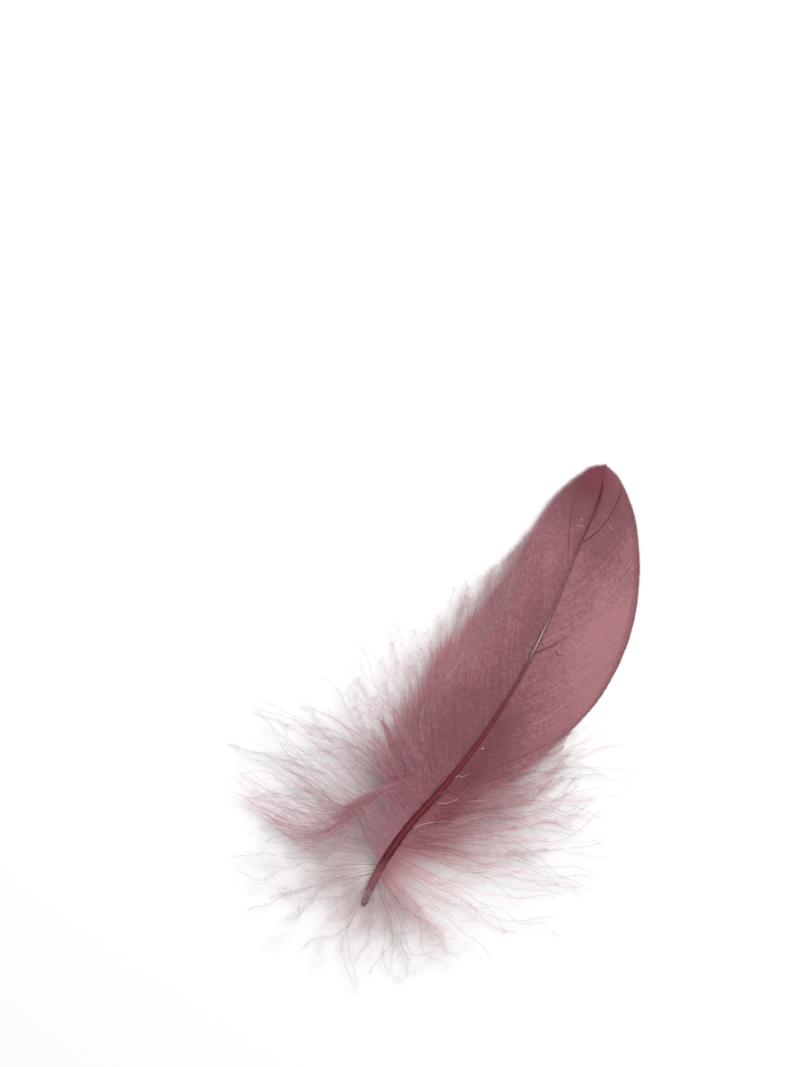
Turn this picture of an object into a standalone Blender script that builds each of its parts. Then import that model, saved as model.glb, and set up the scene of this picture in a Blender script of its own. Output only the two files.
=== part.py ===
"""A goose feather lying on a surface, hollow side down, as one fused solid.

Metres, +Z up. The shaft runs along +Y from the quill's end to the tip, and bows towards +X. The
origin is on the surface, under the middle of the feather's box. Every barb and lock is a bent line
from the shaft to its own tip, so the vanes, their splits and the down share one way of being laid.
"""

import math
import random

import bmesh
import bpy
import numpy as np
from mathutils import Vector

NAME = "feather"
SEED = 7

# Where the quill's end is in the part's frame, across and along. All tables below start from there.
QUILL_END = (-0.00029, -0.03600)
SURFACE = 0.0

# The shaft, from the quill's end to its last hair's breadth: along, across, height, radius.
SHAFT = np.array([
    (0.0000, 0.0000, 0.00044, 0.00052),
    (0.0035, -0.0004, 0.00110, 0.00068),
    (0.0080, -0.0005, 0.00205, 0.00076),
    (0.0150, 0.0002, 0.00330, 0.00070),
    (0.0234, 0.0021, 0.00455, 0.00059),
    (0.0340, 0.0040, 0.00560, 0.00046),
    (0.0465, 0.0049, 0.00600, 0.00038),
    (0.0560, 0.0047, 0.00560, 0.00034),
    (0.0680, 0.0037, 0.00410, 0.00032),
    (0.0800, 0.0025, 0.00205, 0.00028),
    (0.0842, 0.0012, 0.00060, 0.00022),
])
SHAFT_STEPS = 32
SHAFT_ROUNDNESS = 2

# The vanes. Each row is one barb: how far along the shaft it grows, how it leans away from +Y in
# degrees, where its tip is (across, along), how high the tip stands.
RIGHT_BARBS = np.array([
    (0.0260, 50, 0.0172, 0.0430, 0.0002),
    (0.0310, 45, 0.0186, 0.0490, 0.0001),
    (0.0360, 41, 0.0189, 0.0545, 0.0001),
    (0.0415, 37, 0.0182, 0.0600, 0.0001),
    (0.0465, 33, 0.0168, 0.0655, 0.0002),
    (0.0510, 30, 0.0148, 0.0708, 0.0003),
    (0.0570, 26, 0.0122, 0.0755, 0.0005),
    (0.0640, 21, 0.0093, 0.0797, 0.0006),
    (0.0700, 16, 0.0064, 0.0822, 0.0005),
    (0.0750, 10, 0.0038, 0.0838, 0.0004),
    (0.0800, 2, 0.0014, 0.0844, 0.0004),
])
LEFT_BARBS = np.array([
    (0.0140, -58, -0.0215, 0.0300, 0.0003),
    (0.0175, -46, -0.0195, 0.0385, 0.0001),
    (0.0215, -36, -0.0160, 0.0470, 0.0001),
    (0.0260, -31, -0.0122, 0.0530, 0.0002),
    (0.0310, -28, -0.0092, 0.0575, 0.0004),
    (0.0370, -26, -0.0068, 0.0615, 0.0007),
    (0.0450, -27, -0.0052, 0.0665, 0.0009),
    (0.0530, -29, -0.0047, 0.0710, 0.0009),
    (0.0600, -31, -0.0042, 0.0750, 0.0008),
    (0.0670, -30, -0.0031, 0.0785, 0.0006),
    (0.0730, -21, -0.0018, 0.0810, 0.0005),
    (0.0770, -12, -0.0006, 0.0831, 0.0004),
    (0.0800, -8, 0.0010, 0.0843, 0.0004),
])
VANE_THICKNESS = 0.00042
VANE_COLUMNS = 8
LEFT_ROWS = 18
RIGHT_ROWS = 18
ROOT_GAP = 0.0001  # half of the slit between the two vanes, inside the shaft
SPLIT_BOTTOM = 0.35  # how wide a split is at its bottom, as a share of its mouth
SPLIT_CLEARANCE = 2.5  # how near a split a plain row may come, in half widths of it
BARB_SWING = 0.45  # how much of its length a barb keeps its first direction
BARB_RISE = 0.0006  # how far the middle of a barb arches over the line of its droop

# Splits in the vanes: how far along the shaft, how much of the barb stays joined, half the width.
RIGHT_SPLITS = ((0.0290, 0.86, 0.00020), (0.0345, 0.72, 0.00018), (0.0400, 0.86, 0.00020),
                (0.0483, 0.86, 0.00020), (0.0545, 0.72, 0.00022), (0.0610, 0.86, 0.00020),
                (0.0672, 0.43, 0.00025), (0.0716, 0.72, 0.00022), (0.0765, 0.72, 0.00025))
LEFT_SPLITS = ((0.0156, 0.43, 0.00018), (0.0178, 0.58, 0.00016), (0.0196, 0.43, 0.00020),
               (0.0221, 0.58, 0.00018), (0.0243, 0.43, 0.00020), (0.0274, 0.72, 0.00018),
               (0.0303, 0.58, 0.00022), (0.0339, 0.72, 0.00020), (0.0384, 0.58, 0.00024),
               (0.0438, 0.86, 0.00024), (0.0497, 0.72, 0.00026), (0.0560, 0.86, 0.00025),
               (0.0624, 0.72, 0.00025), (0.0680, 0.30, 0.00025), (0.0738, 0.72, 0.00025))

# The down: each row is a place in the fan, from the quill's end upwards. Along the shaft, lean in
# degrees, the tip's place across and along.
RIGHT_DOWN = np.array([
    (0.0050, 158, 0.0070, -0.0108),
    (0.0060, 134, 0.0124, -0.0050),
    (0.0074, 114, 0.0205, 0.0030),
    (0.0094, 98, 0.0290, 0.0115),
    (0.0120, 86, 0.0330, 0.0190),
    (0.0153, 76, 0.0312, 0.0262),
    (0.0190, 66, 0.0300, 0.0335),
    (0.0230, 57, 0.0272, 0.0420),
    (0.0270, 50, 0.0235, 0.0505),
])
LEFT_DOWN = np.array([
    (0.0050, -172, 0.0030, -0.0125),
    (0.0058, -152, -0.0045, -0.0100),
    (0.0067, -132, -0.0120, -0.0075),
    (0.0079, -112, -0.0205, -0.0045),
    (0.0094, -96, -0.0262, 0.0030),
    (0.0111, -83, -0.0310, 0.0105),
    (0.0129, -73, -0.0322, 0.0165),
    (0.0148, -65, -0.0290, 0.0225),
    (0.0168, -58, -0.0255, 0.0285),
])
RIGHT_LOCKS = 26
LEFT_LOCKS = 25
LOCK_POINTS = 6
LOCK_CORNERS = 6  # of its cross-section
LOCK_WIDTH = 0.00100  # half the width of a lock at its fullest
LOCK_THICKNESS = 0.00024  # half its thickness there
LOCK_TIP = 0.14  # how wide its tip is, as a share of the fullest
LOCK_ROOT = 0.30  # how much wider than the tip its root is
LOCK_BELLY = 0.60  # how much wider its middle is
LOCK_HIGH = 0.00384  # how far every second lock arches up
LOCK_LOW = 0.00064  # and the ones between them
LOCK_ARCHES = (0.8, 1.1)  # the least and the most of its arch that a lock takes
LOCK_DROOP = 1.5  # the power of its length by which a lock comes down
LOCK_ENDS = (0.0008, 0.0040)  # how far the high locks' tips stay over the low ones', at least and at most
LOCK_SHORTEST = 0.70  # the shortest, as a share of the way to the fan's edge
LOCK_FLOOR = 0.00025  # how near the surface the middle of a lock comes
LOCK_WAVE = 0.0009  # how far a lock's tip half swings to the side

# The folded bundle of down on the left. After its root on the shaft each row is a bend, and the last
# is its end: across, along, height, and how much of the spread between the locks it takes.
BUNDLE = (
    (-0.0046, 0.0205, 0.0052, 0.4),
    (-0.0103, 0.0124, 0.0049, 0.2),
    (-0.0154, 0.0070, 0.0026, 0.5),
    (-0.0262, 0.0038, 0.0006, 1.6),
)
BUNDLE_ROOTS = (0.0165, 0.0190, 0.0215)
BUNDLE_SPREAD = (-0.0012, 0.0024, 0.0)
BUNDLE_POINTS = 10
BUNDLE_WIDTH = 1.1  # its locks' width, as a share of the others'

GROUND_SIZE = (0.3, 0.3, 0.02)
SHAFT_COLOUR = (0.33, 0.05, 0.08, 1.0)
ROUGHNESS = 0.55


def through(rows, at):
    """Values of a table at the places `at`: a smooth cubic through its rows, whose first column is
    the place, with each row's slope taken from its neighbours."""
    rows = rows[np.argsort(rows[:, 0])]
    places, values = rows[:, 0], rows[:, 1:]
    slope = np.gradient(values, places, axis=0)
    at = np.atleast_1d(at)
    low = np.clip(np.searchsorted(places, at) - 1, 0, len(places) - 2)
    span = (places[low + 1] - places[low])[:, None]
    f = ((at - places[low])[:, None]) / span
    return (
        values[low] * (1 + 2 * f) * (1 - f) ** 2
        + span * slope[low] * f * (1 - f) ** 2
        + values[low + 1] * f**2 * (3 - 2 * f)
        + span * slope[low + 1] * f**2 * (f - 1)
    )


def shaft_points(along):
    """Centre points of the shaft, (across, along, height), at distances along it."""
    across, height, _ = through(SHAFT, along).T
    return np.stack([across, np.atleast_1d(along), height], axis=1)


def bend(root, lean, tip, part):
    """Points of a barb seen from above: a quadratic curve from its root to its tip, which leaves the
    shaft at `lean` degrees from +Y."""
    way = np.stack([np.sin(np.radians(lean)), np.cos(np.radians(lean))], axis=-1)
    reach = np.linalg.norm(tip - root, axis=-1, keepdims=True)
    knee = root + way * reach * BARB_SWING
    return (1 - part) ** 2 * root + 2 * part * (1 - part) * knee + part**2 * tip


def place(points):
    """The same points in the part's frame."""
    return points + np.array([QUILL_END[0], QUILL_END[1], SURFACE])


def vane_rows(splits, low, high, count):
    """Rows of a vane from its lowest barb to its highest: even steps, and two rows at each split, one
    for each lip. A row is where it grows, how far it stands off its split, how much is joined to the
    next row."""
    rows = []
    for along in np.linspace(low, high, count):
        if all(abs(along - where) > SPLIT_CLEARANCE * half for where, _, half in splits):
            rows.append((along, 0.0, 1.0))
    for where, joined, half in splits:
        rows += [(where, -half, joined), (where, half, 1.0)]
    return np.array(sorted(rows, key=lambda row: row[0] + row[1]))


def vane_side(barbs, splits, count, side):
    """A grid of points over one vane, a row for each barb, from the lowest barb to the highest, and
    for each row the share of its length over which it is joined to the next."""
    rows = vane_rows(splits, barbs[:, 0].min(), barbs[:, 0].max(), count)
    joined = rows[:, 2]
    grid = []
    for part in np.linspace(0, 1, VANE_COLUMNS):
        bottom = np.where(joined < 1, joined, np.roll(joined, 1))
        open_share = np.clip((part - bottom) / np.maximum(1 - bottom, 1e-6), 0, 1)
        along = rows[:, 0] + rows[:, 1] * (SPLIT_BOTTOM + (1 - SPLIT_BOTTOM) * open_share)
        lean, tip_x, tip_y, tip_z = through(barbs, along).T
        root = shaft_points(along)
        start = root[:, :2] + np.array([side * ROOT_GAP, 0.0])
        flat = bend(start, lean, np.stack([tip_x, tip_y], axis=1), part)
        height = root[:, 2] * (1 - part**2) + tip_z * part**2 + BARB_RISE * math.sin(math.pi * part)
        grid.append(np.column_stack([flat, height]))
    return np.stack(grid, axis=1), joined


def make_vane(name, barbs, splits, count, side):
    """One vane as an open sheet with slits, which Solidify gives its thickness."""
    grid, joined = vane_side(barbs, splits, count, side)
    rows, columns = grid.shape[:2]
    corner = np.arange(rows * columns).reshape(rows, columns)
    faces = np.stack([corner[:-1, :-1], corner[1:, :-1], corner[1:, 1:], corner[:-1, 1:]], axis=-1)
    kept = np.arange(1, columns)[None, :] / (columns - 1) <= joined[:-1, None] + 1e-6
    mesh = bpy.data.meshes.new(name)
    mesh.from_pydata(place(grid.reshape(-1, 3)).tolist(), [], faces[kept].tolist())
    sheet = bpy.data.objects.new(name, mesh)
    solid = sheet.modifiers.new("thickness", "SOLIDIFY")
    solid.thickness = VANE_THICKNESS
    solid.offset = 0
    return sheet


def make_tube(name, points, radii, profile=None):
    """A tube along points, round or with a flat profile, closed at both ends."""
    curve = bpy.data.curves.new(name, "CURVE")
    curve.dimensions = "3D"
    curve.use_fill_caps = True
    curve.twist_mode = "Z_UP"
    if profile is None:
        curve.bevel_depth = 1.0
        curve.bevel_resolution = SHAFT_ROUNDNESS
    else:
        curve.bevel_mode = "OBJECT"
        curve.bevel_object = profile
    spline = curve.splines.new("POLY")
    spline.points.add(len(points) - 1)
    for point, where, radius in zip(spline.points, points, radii):
        point.co = (*where, 1.0)
        point.radius = radius
    return bpy.data.objects.new(name, curve)


def make_shaft():
    """The quill and shaft: a tapering tube, widest just above the quill's end."""
    along = np.linspace(0, SHAFT[-1, 0], SHAFT_STEPS)
    radii = through(SHAFT, along)[:, 2]
    return make_tube("shaft", place(shaft_points(along)), radii)


def lock_radius(part):
    """Width of a lock along its length, as a share of the fullest: a straight taper from root to tip,
    and a belly, which is a sine of the length, a little fuller than a plain one and nearer the root."""
    return LOCK_TIP + LOCK_ROOT * (1 - part) + LOCK_BELLY * np.sin(math.pi * part**0.9) ** 0.8


def make_down(table, count, side, profile, rng):
    """A fan of downy locks on one side. Every second one arches up, the others lie on the surface."""
    locks = []
    part = np.linspace(0, 1, LOCK_POINTS)
    for index in range(count):
        fraction = index / (count - 1)
        spread = np.linspace(0, 1, len(table))
        row = through(np.column_stack([spread, table]), fraction)[0]
        along, lean, tip_x, tip_y = row
        root = shaft_points(along)[0]
        length = rng.uniform(LOCK_SHORTEST, 1.0) if index % 3 else 1.0
        tip = root[:2] + (np.array([tip_x, tip_y]) - root[:2]) * length
        flat = bend(root[:2], lean, tip, part[:, None])
        across = np.array([-(tip - root[:2])[1], (tip - root[:2])[0]])
        across /= np.linalg.norm(across)
        wave = LOCK_WAVE * rng.choice((-1, 1)) * np.sin(2 * math.pi * part) * part
        flat = flat + across * wave[:, None]
        arch = (LOCK_HIGH if index % 2 else LOCK_LOW) * rng.uniform(*LOCK_ARCHES)
        end = LOCK_FLOOR + (rng.uniform(*LOCK_ENDS) if index % 2 else 0.0)
        down = part**LOCK_DROOP
        height = root[2] * (1 - down) + end * down + arch * np.sin(math.pi * part)
        height = np.maximum(height, LOCK_FLOOR)
        points = place(np.column_stack([flat, height]))
        locks.append(make_tube(f"down_{side}_{index}", points, lock_radius(part), profile))
    return locks


def make_bundle(profile):
    """The locks on the left that bend back over themselves towards the quill."""
    locks = []
    part = np.linspace(0, 1, BUNDLE_POINTS)
    for index, along in enumerate(BUNDLE_ROOTS):
        shift = np.array(BUNDLE_SPREAD) * (index - 1)
        knots = [shaft_points(along)[0]]
        knots += [np.array(knot) + shift * share for *knot, share in BUNDLE]
        table = np.column_stack([np.linspace(0, 1, len(knots)), knots])
        points = place(through(table, part))
        radii = lock_radius(part) * BUNDLE_WIDTH
        locks.append(make_tube(f"bundle_{index}", points, radii, profile))
    return locks


def make_profile(guides):
    """The cross-section of a lock: a flat ellipse, used as the bevel shape of its curve."""
    curve = bpy.data.curves.new("lock_section", "CURVE")
    curve.dimensions = "2D"
    spline = curve.splines.new("POLY")
    spline.points.add(LOCK_CORNERS - 1)
    for index, point in enumerate(spline.points):
        turn = 2 * math.pi * index / LOCK_CORNERS
        point.co = (LOCK_WIDTH * math.cos(turn), LOCK_THICKNESS * math.sin(turn), 0, 1)
    spline.use_cyclic_u = True
    profile = bpy.data.objects.new("lock_section", curve)
    guides.objects.link(profile)
    hide(profile)
    return profile


def hide(guide):
    """Keeps a helper out of renders, and shows it as a wire."""
    guide.hide_render = True
    guide.display_type = "WIRE"


def as_mesh(source, collection):
    """The evaluated object as a plain closed mesh object; the curve or sheet it came from goes."""
    collection.objects.link(source)
    graph = bpy.context.evaluated_depsgraph_get()
    mesh = bpy.data.meshes.new_from_object(source.evaluated_get(graph))
    work = bmesh.new()
    work.from_mesh(mesh)
    bmesh.ops.remove_doubles(work, verts=work.verts, dist=1e-6)
    bmesh.ops.recalc_face_normals(work, faces=work.faces)
    bmesh.ops.triangulate(work, faces=work.faces)
    work.to_mesh(mesh)
    work.free()
    solid = bpy.data.objects.new(source.name + "_solid", mesh)
    bpy.data.objects.remove(source)
    collection.objects.link(solid)
    return solid


def material(name, colour):
    """A plain finish in one colour."""
    paint = bpy.data.materials.new(name)
    paint.use_nodes = True
    shader = paint.node_tree.nodes["Principled BSDF"]
    shader.inputs["Base Color"].default_value = colour
    shader.inputs["Roughness"].default_value = ROUGHNESS
    shader.inputs["Metallic"].default_value = 0.0
    return paint


def make_ground(guides):
    """A block whose top is the surface: it trims the feather flat where it rests."""
    mesh = bpy.data.meshes.new("ground")
    work = bmesh.new()
    bmesh.ops.create_cube(work, size=1.0)
    bmesh.ops.scale(work, vec=Vector(GROUND_SIZE), verts=work.verts)
    bmesh.ops.translate(work, vec=Vector((0, 0, SURFACE - GROUND_SIZE[2] / 2)), verts=work.verts)
    work.to_mesh(mesh)
    work.free()
    ground = bpy.data.objects.new("ground", mesh)
    guides.objects.link(ground)
    hide(ground)
    return ground


def fuse(base, others, guides):
    """One solid of the base and all the others, trimmed by the surface it lies on."""
    limbs = bpy.data.collections.new("limbs")
    guides.children.link(limbs)
    for other in others:
        guides.objects.unlink(other)
        limbs.objects.link(other)
        hide(other)
    union = base.modifiers.new("limbs", "BOOLEAN")
    union.operation = "UNION"
    union.operand_type = "COLLECTION"
    union.collection = limbs
    union.solver = "EXACT"
    trim = base.modifiers.new("rest", "BOOLEAN")
    trim.operation = "DIFFERENCE"
    trim.object = make_ground(guides)
    trim.solver = "EXACT"


for old in list(bpy.data.objects):
    bpy.data.objects.remove(old)

parts = bpy.data.collections.new(NAME)
cutters = bpy.data.collections.new("cutters")
bpy.context.scene.collection.children.link(parts)
bpy.context.scene.collection.children.link(cutters)

draw = random.Random(SEED)
section = make_profile(cutters)
limbs = [make_vane("left_vane", LEFT_BARBS, LEFT_SPLITS, LEFT_ROWS, -1)]
limbs += [make_vane("right_vane", RIGHT_BARBS, RIGHT_SPLITS, RIGHT_ROWS, 1)]
limbs += make_down(RIGHT_DOWN, RIGHT_LOCKS, "right", section, draw)
limbs += make_down(LEFT_DOWN, LEFT_LOCKS, "left", section, draw)
limbs += make_bundle(section)
limbs = [as_mesh(limb, cutters) for limb in limbs]

feather = as_mesh(make_shaft(), cutters)
feather.name = NAME
cutters.objects.unlink(feather)
parts.objects.link(feather)
feather.data.materials.append(material("feather_dye", SHAFT_COLOUR))
fuse(feather, limbs, cutters)
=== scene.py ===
"""A dyed goose feather that lies on a pale surface with its hollow side down.

Metres, +Z up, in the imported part's frame. The shaft runs along +Y from the quill's end and bows
towards +X. All that grows on it is strands: paths from the shaft to their own tips, each with a
closed skin round it. Vanes, down and loose fibres differ in how their strands are laid and dyed.
"""

import bpy
import numpy as np
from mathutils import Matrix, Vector


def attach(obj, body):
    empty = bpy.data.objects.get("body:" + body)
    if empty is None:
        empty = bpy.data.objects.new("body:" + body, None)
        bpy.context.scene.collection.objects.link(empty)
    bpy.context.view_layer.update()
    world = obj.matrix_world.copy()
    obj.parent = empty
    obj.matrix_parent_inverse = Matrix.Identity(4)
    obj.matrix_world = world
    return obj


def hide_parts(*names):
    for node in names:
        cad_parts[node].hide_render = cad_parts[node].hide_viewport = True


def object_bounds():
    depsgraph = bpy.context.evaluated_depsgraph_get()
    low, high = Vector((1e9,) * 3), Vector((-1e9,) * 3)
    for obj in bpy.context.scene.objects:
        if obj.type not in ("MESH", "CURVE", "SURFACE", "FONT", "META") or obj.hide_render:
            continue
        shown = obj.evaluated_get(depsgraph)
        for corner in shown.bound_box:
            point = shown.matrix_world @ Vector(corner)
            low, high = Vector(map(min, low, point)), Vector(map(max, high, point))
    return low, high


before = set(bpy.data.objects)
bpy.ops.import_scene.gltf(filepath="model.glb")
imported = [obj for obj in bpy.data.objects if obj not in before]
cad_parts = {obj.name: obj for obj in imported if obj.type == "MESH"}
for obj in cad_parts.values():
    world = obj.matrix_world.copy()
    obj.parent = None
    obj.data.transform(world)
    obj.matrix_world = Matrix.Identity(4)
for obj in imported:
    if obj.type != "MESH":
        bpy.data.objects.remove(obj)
solid_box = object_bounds()


# --- Quill and shaft ---------------------------------------------------------------------------------
# The horn rod that the whole feather grows on: a bare round quill at the bottom, then a shaft that
# thins to a hair. It is dyed crimson, glossy, flattened a little, with a groove down its underside.

# The quill's end in the part's frame. Every table below is measured from it.
QUILL_END = np.array([-0.00029, -0.03600, 0.0])

# The shaft, from the quill's end to its last hair's breadth: along, across, height, radius.
SHAFT = np.array([
    (0.0000, 0.0000, 0.00044, 0.00052),
    (0.0035, -0.0004, 0.00110, 0.00068),
    (0.0080, -0.0005, 0.00205, 0.00076),
    (0.0150, 0.0002, 0.00330, 0.00070),
    (0.0234, 0.0021, 0.00455, 0.00059),
    (0.0340, 0.0040, 0.00560, 0.00046),
    (0.0465, 0.0049, 0.00600, 0.00038),
    (0.0560, 0.0047, 0.00560, 0.00034),
    (0.0680, 0.0037, 0.00410, 0.00032),
    (0.0800, 0.0025, 0.00205, 0.00028),
    (0.0842, 0.0012, 0.00060, 0.00022),
])
SHAFT_STEPS = 200
SHAFT_CORNERS = 20
SHAFT_FLATNESS = 0.86  # its height, as a share of its width
# Up the shaft it slims to a share of the table's radius, and sinks under the barbs' roots for a way:
# places along the shaft, and the share or the depth at each.
SLIMMING = ((0.022, 0.056, 0.074, 0.079, 0.084), (1.0, 0.38, 0.38, 0.20, 0.12))
SINKING = (
    (0.054, 0.059, 0.069, 0.072, 0.076, 0.079),
    (0.0, 0.00014, 0.00014, 0.00004, 0.00006, 0.00016),
)
ROUND_END = 0.0009  # how far up the quill its rounded end goes
ROUND_STEPS = 6
END_CLOSING = 0.72  # how much of the very end's area the rounding takes
PIT_DEPTH = 0.0005  # the dimple in the quill's end
POINT_LENGTH = 0.0004  # how far the last hair's point stands past the table
GROOVE_START = 0.0150
GROOVE_FADE = 0.0100  # over how much of the shaft it deepens
GROOVE_DEPTH = 0.28
GROOVE_WIDTH = 0.45  # of a radian to each side of straight down
SURFACE_GAP = 0.00003  # the least height of anything over the surface
UP = np.array([0.0, 0.0, 1.0])


def through(rows, at):
    """Values of a table at the places `at`: a smooth cubic through its rows, whose first column is
    the place, with each row's slope taken from its neighbours."""
    rows = rows[np.argsort(rows[:, 0])]
    places, values = rows[:, 0], rows[:, 1:]
    slope = np.gradient(values, places, axis=0)
    at = np.clip(at, places[0], places[-1])
    low = np.clip(np.searchsorted(places, at) - 1, 0, len(places) - 2)
    span = (places[low + 1] - places[low])[..., None]
    part = (at - places[low])[..., None] / span
    return (
        values[low] * (1 + 2 * part) * (1 - part) ** 2
        + span * slope[low] * part * (1 - part) ** 2
        + values[low + 1] * part**2 * (3 - 2 * part)
        + span * slope[low + 1] * part**2 * (part - 1)
    )


def shaft_line(along):
    """Centre points of the shaft, (across, along, height), at distances along it."""
    found = through(SHAFT, along)
    return np.stack([found[..., 0], np.asarray(along, float), found[..., 1]], axis=-1)


def unit(ways):
    """The same directions, one long."""
    return ways / np.maximum(np.linalg.norm(ways, axis=-1, keepdims=True), 1e-12)


def sides_of(path):
    """The run of each path, and two directions at right angles to it: the level one is the run turned
    a quarter to the left about +Z, with a trifle added so that a run straight up has one too, and the
    upright one is the run crossed with that."""
    run = unit(np.gradient(path, axis=-2))
    level = unit(np.cross(UP, run) + [1e-6, 0.0, 0.0])
    return run, level, np.cross(run, level)


def ring_turns(corners):
    """The angles of a ring's corners, evenly round from the left side over the top."""
    return 2 * np.pi * np.arange(corners) / corners


def rings_round(path, size, turns, flatness=1.0):
    """Rings round the points of each path: a corner lies `size` times the cosine of its turn to the
    left, and `size` times the sine, made less by the flatness, above."""
    _, level, upright = sides_of(path)
    aside = level[..., None, :] * np.cos(turns)[:, None]
    above = upright[..., None, :] * (flatness * np.sin(turns))[:, None]
    return path[..., None, :] + size * (aside + above)


def skin(first, rings, last, marks):
    """A closed skin round each strand: triangles from its first point to its first ring, quads from
    each ring to the next, and triangles to its last point. `marks` holds the values of every ring's
    corner, and the end points take those of the nearest ring's mean. The corners of a ring go from
    the left side over the top to the right, so the faces point outwards."""
    count, steps, corners = rings.shape[:3]
    points = np.concatenate([first[:, None], rings.reshape(count, -1, 3), last[:, None]], axis=1)
    ends = marks.mean(axis=2)
    between = marks.reshape(count, steps * corners, -1)
    values = np.concatenate([ends[:, :1], between, ends[:, -1:]], axis=1)
    ring = 1 + np.arange(steps * corners).reshape(steps, corners)
    after = np.roll(ring, -1, axis=1)
    quads = np.stack([ring[:-1], after[:-1], after[1:], ring[1:]], axis=-1).reshape(-1, 4)
    head = np.stack([np.zeros(corners, int), after[0], ring[0]], axis=-1)
    tail = np.stack([np.full(corners, steps * corners + 1), ring[-1], after[-1]], axis=-1)
    start = (np.arange(count) * (steps * corners + 2))[:, None, None]
    return (
        points.reshape(-1, 3),
        (quads + start).reshape(-1, 4),
        (np.concatenate([head, tail]) + start).reshape(-1, 3),
        values.reshape(-1, marks.shape[-1]),
    )


def joined(*skins):
    """Several skins as one: their lists end to end, with each one's points counted on from the last."""
    before = np.cumsum([0] + [len(points) for points, *_ in skins[:-1]])
    return (
        np.concatenate([points for points, *_ in skins]),
        np.concatenate([quads + add for (_, quads, _, _), add in zip(skins, before)]),
        np.concatenate([threes + add for (_, _, threes, _), add in zip(skins, before)]),
        np.concatenate([values for *_, values in skins]),
    )


# What each corner of a strand carries for its material, besides its two places on the bake's map.
# The 'deep' mark holds the dye's depth with painted shade and sheen, 'shade' the vanes' painted crease
# shadows and the down's strands; on the shaft 'edge' is a corner's height, which places its painted
# highlights.
MARKS = ("tone", "reach", "edge", "place", "shade", "free", "deep")
SHARP_ANGLE = 50  # from this many degrees on, an edge is drawn sharp
MOST_ABREAST = 400  # so many strands share one row of the bake's map
PATCH_GAPS = (0.08, 0.02)  # beside and above a strand's patch of it, as shares of its room


def corner_marks(shape, patch, **given):
    """The values of every corner: its two places on the bake's map, then each of MARKS as given, or
    nought where it isn't."""
    values = [*patch, *(given.get(mark, 0.0) for mark in MARKS)]
    return np.stack([np.broadcast_to(value, shape) for value in values], axis=-1)


def place_in_scene(name, data):
    """A new object in the scene."""
    thing = bpy.data.objects.new(name, data)
    bpy.context.scene.collection.objects.link(thing)
    return thing


def make_piece(name, whole, material):
    """A mesh from one skin, put in the part's frame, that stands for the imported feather's solid."""
    points, quads, threes, values = whole
    points = points + QUILL_END
    points[:, 2] = np.maximum(points[:, 2], SURFACE_GAP)
    corners = np.concatenate([quads.ravel(), threes.ravel()])
    starts = np.concatenate([np.arange(len(quads)) * 4, len(quads) * 4 + np.arange(len(threes)) * 3])
    mesh = bpy.data.meshes.new(name)
    mesh.vertices.add(len(points))
    mesh.vertices.foreach_set("co", points.ravel())
    mesh.loops.add(len(corners))
    mesh.loops.foreach_set("vertex_index", corners)
    mesh.polygons.add(len(starts))
    mesh.polygons.foreach_set("loop_start", starts)
    mesh.update(calc_edges=True)
    layer = mesh.uv_layers.new(name="OFBake")
    layer.uv.foreach_set("vector", values[corners, :2].astype(np.float32).ravel())
    for column, mark in enumerate(MARKS):
        store = mesh.attributes.new(mark, "FLOAT", "POINT")
        store.data.foreach_set("value", values[:, 2 + column].astype(np.float32))
    mesh.materials.append(material)
    mesh.set_sharp_from_angle(angle=np.radians(SHARP_ANGLE))
    piece = place_in_scene(name, mesh)
    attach(piece, "root")
    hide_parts("feather")


def own_patch(count, sides, ahead, band):
    """Places on the bake's map for so many strands: each has a patch of its own, in a grid of rows and
    columns that fills the map between the band's two heights. `sides` goes across it, `ahead` up it."""
    columns = int(np.ceil(np.sqrt(count))) if count > MOST_ABREAST else count
    rows = int(np.ceil(count / columns))
    row, column = (place[:, None, None] for place in np.divmod(np.arange(count), columns))
    beside, above = PATCH_GAPS
    across = (column + beside + (1 - 2 * beside) * sides) / columns
    up = band[0] + (band[1] - band[0]) * (row + above + (1 - 2 * above) * ahead) / rows
    return across, up


def shaft_skin():
    """The quill and shaft as one tube. Its radius is the table's, slimmed beyond the quill, rounded in
    at the end by a quarter circle, and pressed in along the underside by a bell curve of the angle. It
    sinks below the table's line where the barbs' roots cover it."""
    tip = SHAFT[-1, 0]
    rounding = np.linspace(0, ROUND_END, ROUND_STEPS, endpoint=False)
    along = np.concatenate([rounding, np.linspace(ROUND_END, tip, SHAFT_STEPS)])
    path = shaft_line(along)[None]
    path[..., 2] -= np.interp(along, *SINKING)
    radius = through(SHAFT, along)[:, 2] * np.interp(along, *SLIMMING)
    closing = np.clip(1 - along / ROUND_END, 0, 1)
    radius = radius * np.sqrt(1 - END_CLOSING * closing**2)
    turns = ring_turns(SHAFT_CORNERS)
    off_bottom = (turns - 0.5 * np.pi) % (2 * np.pi) - np.pi
    grooved = np.clip((along - GROOVE_START) / GROOVE_FADE, 0, 1)[:, None]
    press = 1 - GROOVE_DEPTH * grooved * np.exp(-((off_bottom / GROOVE_WIDTH) ** 2))
    rings = rings_round(path, (radius[:, None] * press)[None, ..., None], turns, SHAFT_FLATNESS)
    first = shaft_line(np.array([PIT_DEPTH]))
    last = shaft_line(np.array([tip + POINT_LENGTH]))
    around = turns / (2 * np.pi)
    reach = (along / tip)[:, None]
    patch = own_patch(1, around, reach, (0.0, 1.0))
    # The edge mark here is each corner's height round the ring, which puts the painted highlights on the
    # shaft's top.
    marks = corner_marks(rings.shape[:3], patch, tone=around, reach=reach, edge=np.sin(turns))
    return skin(first, rings, last, marks)


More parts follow.
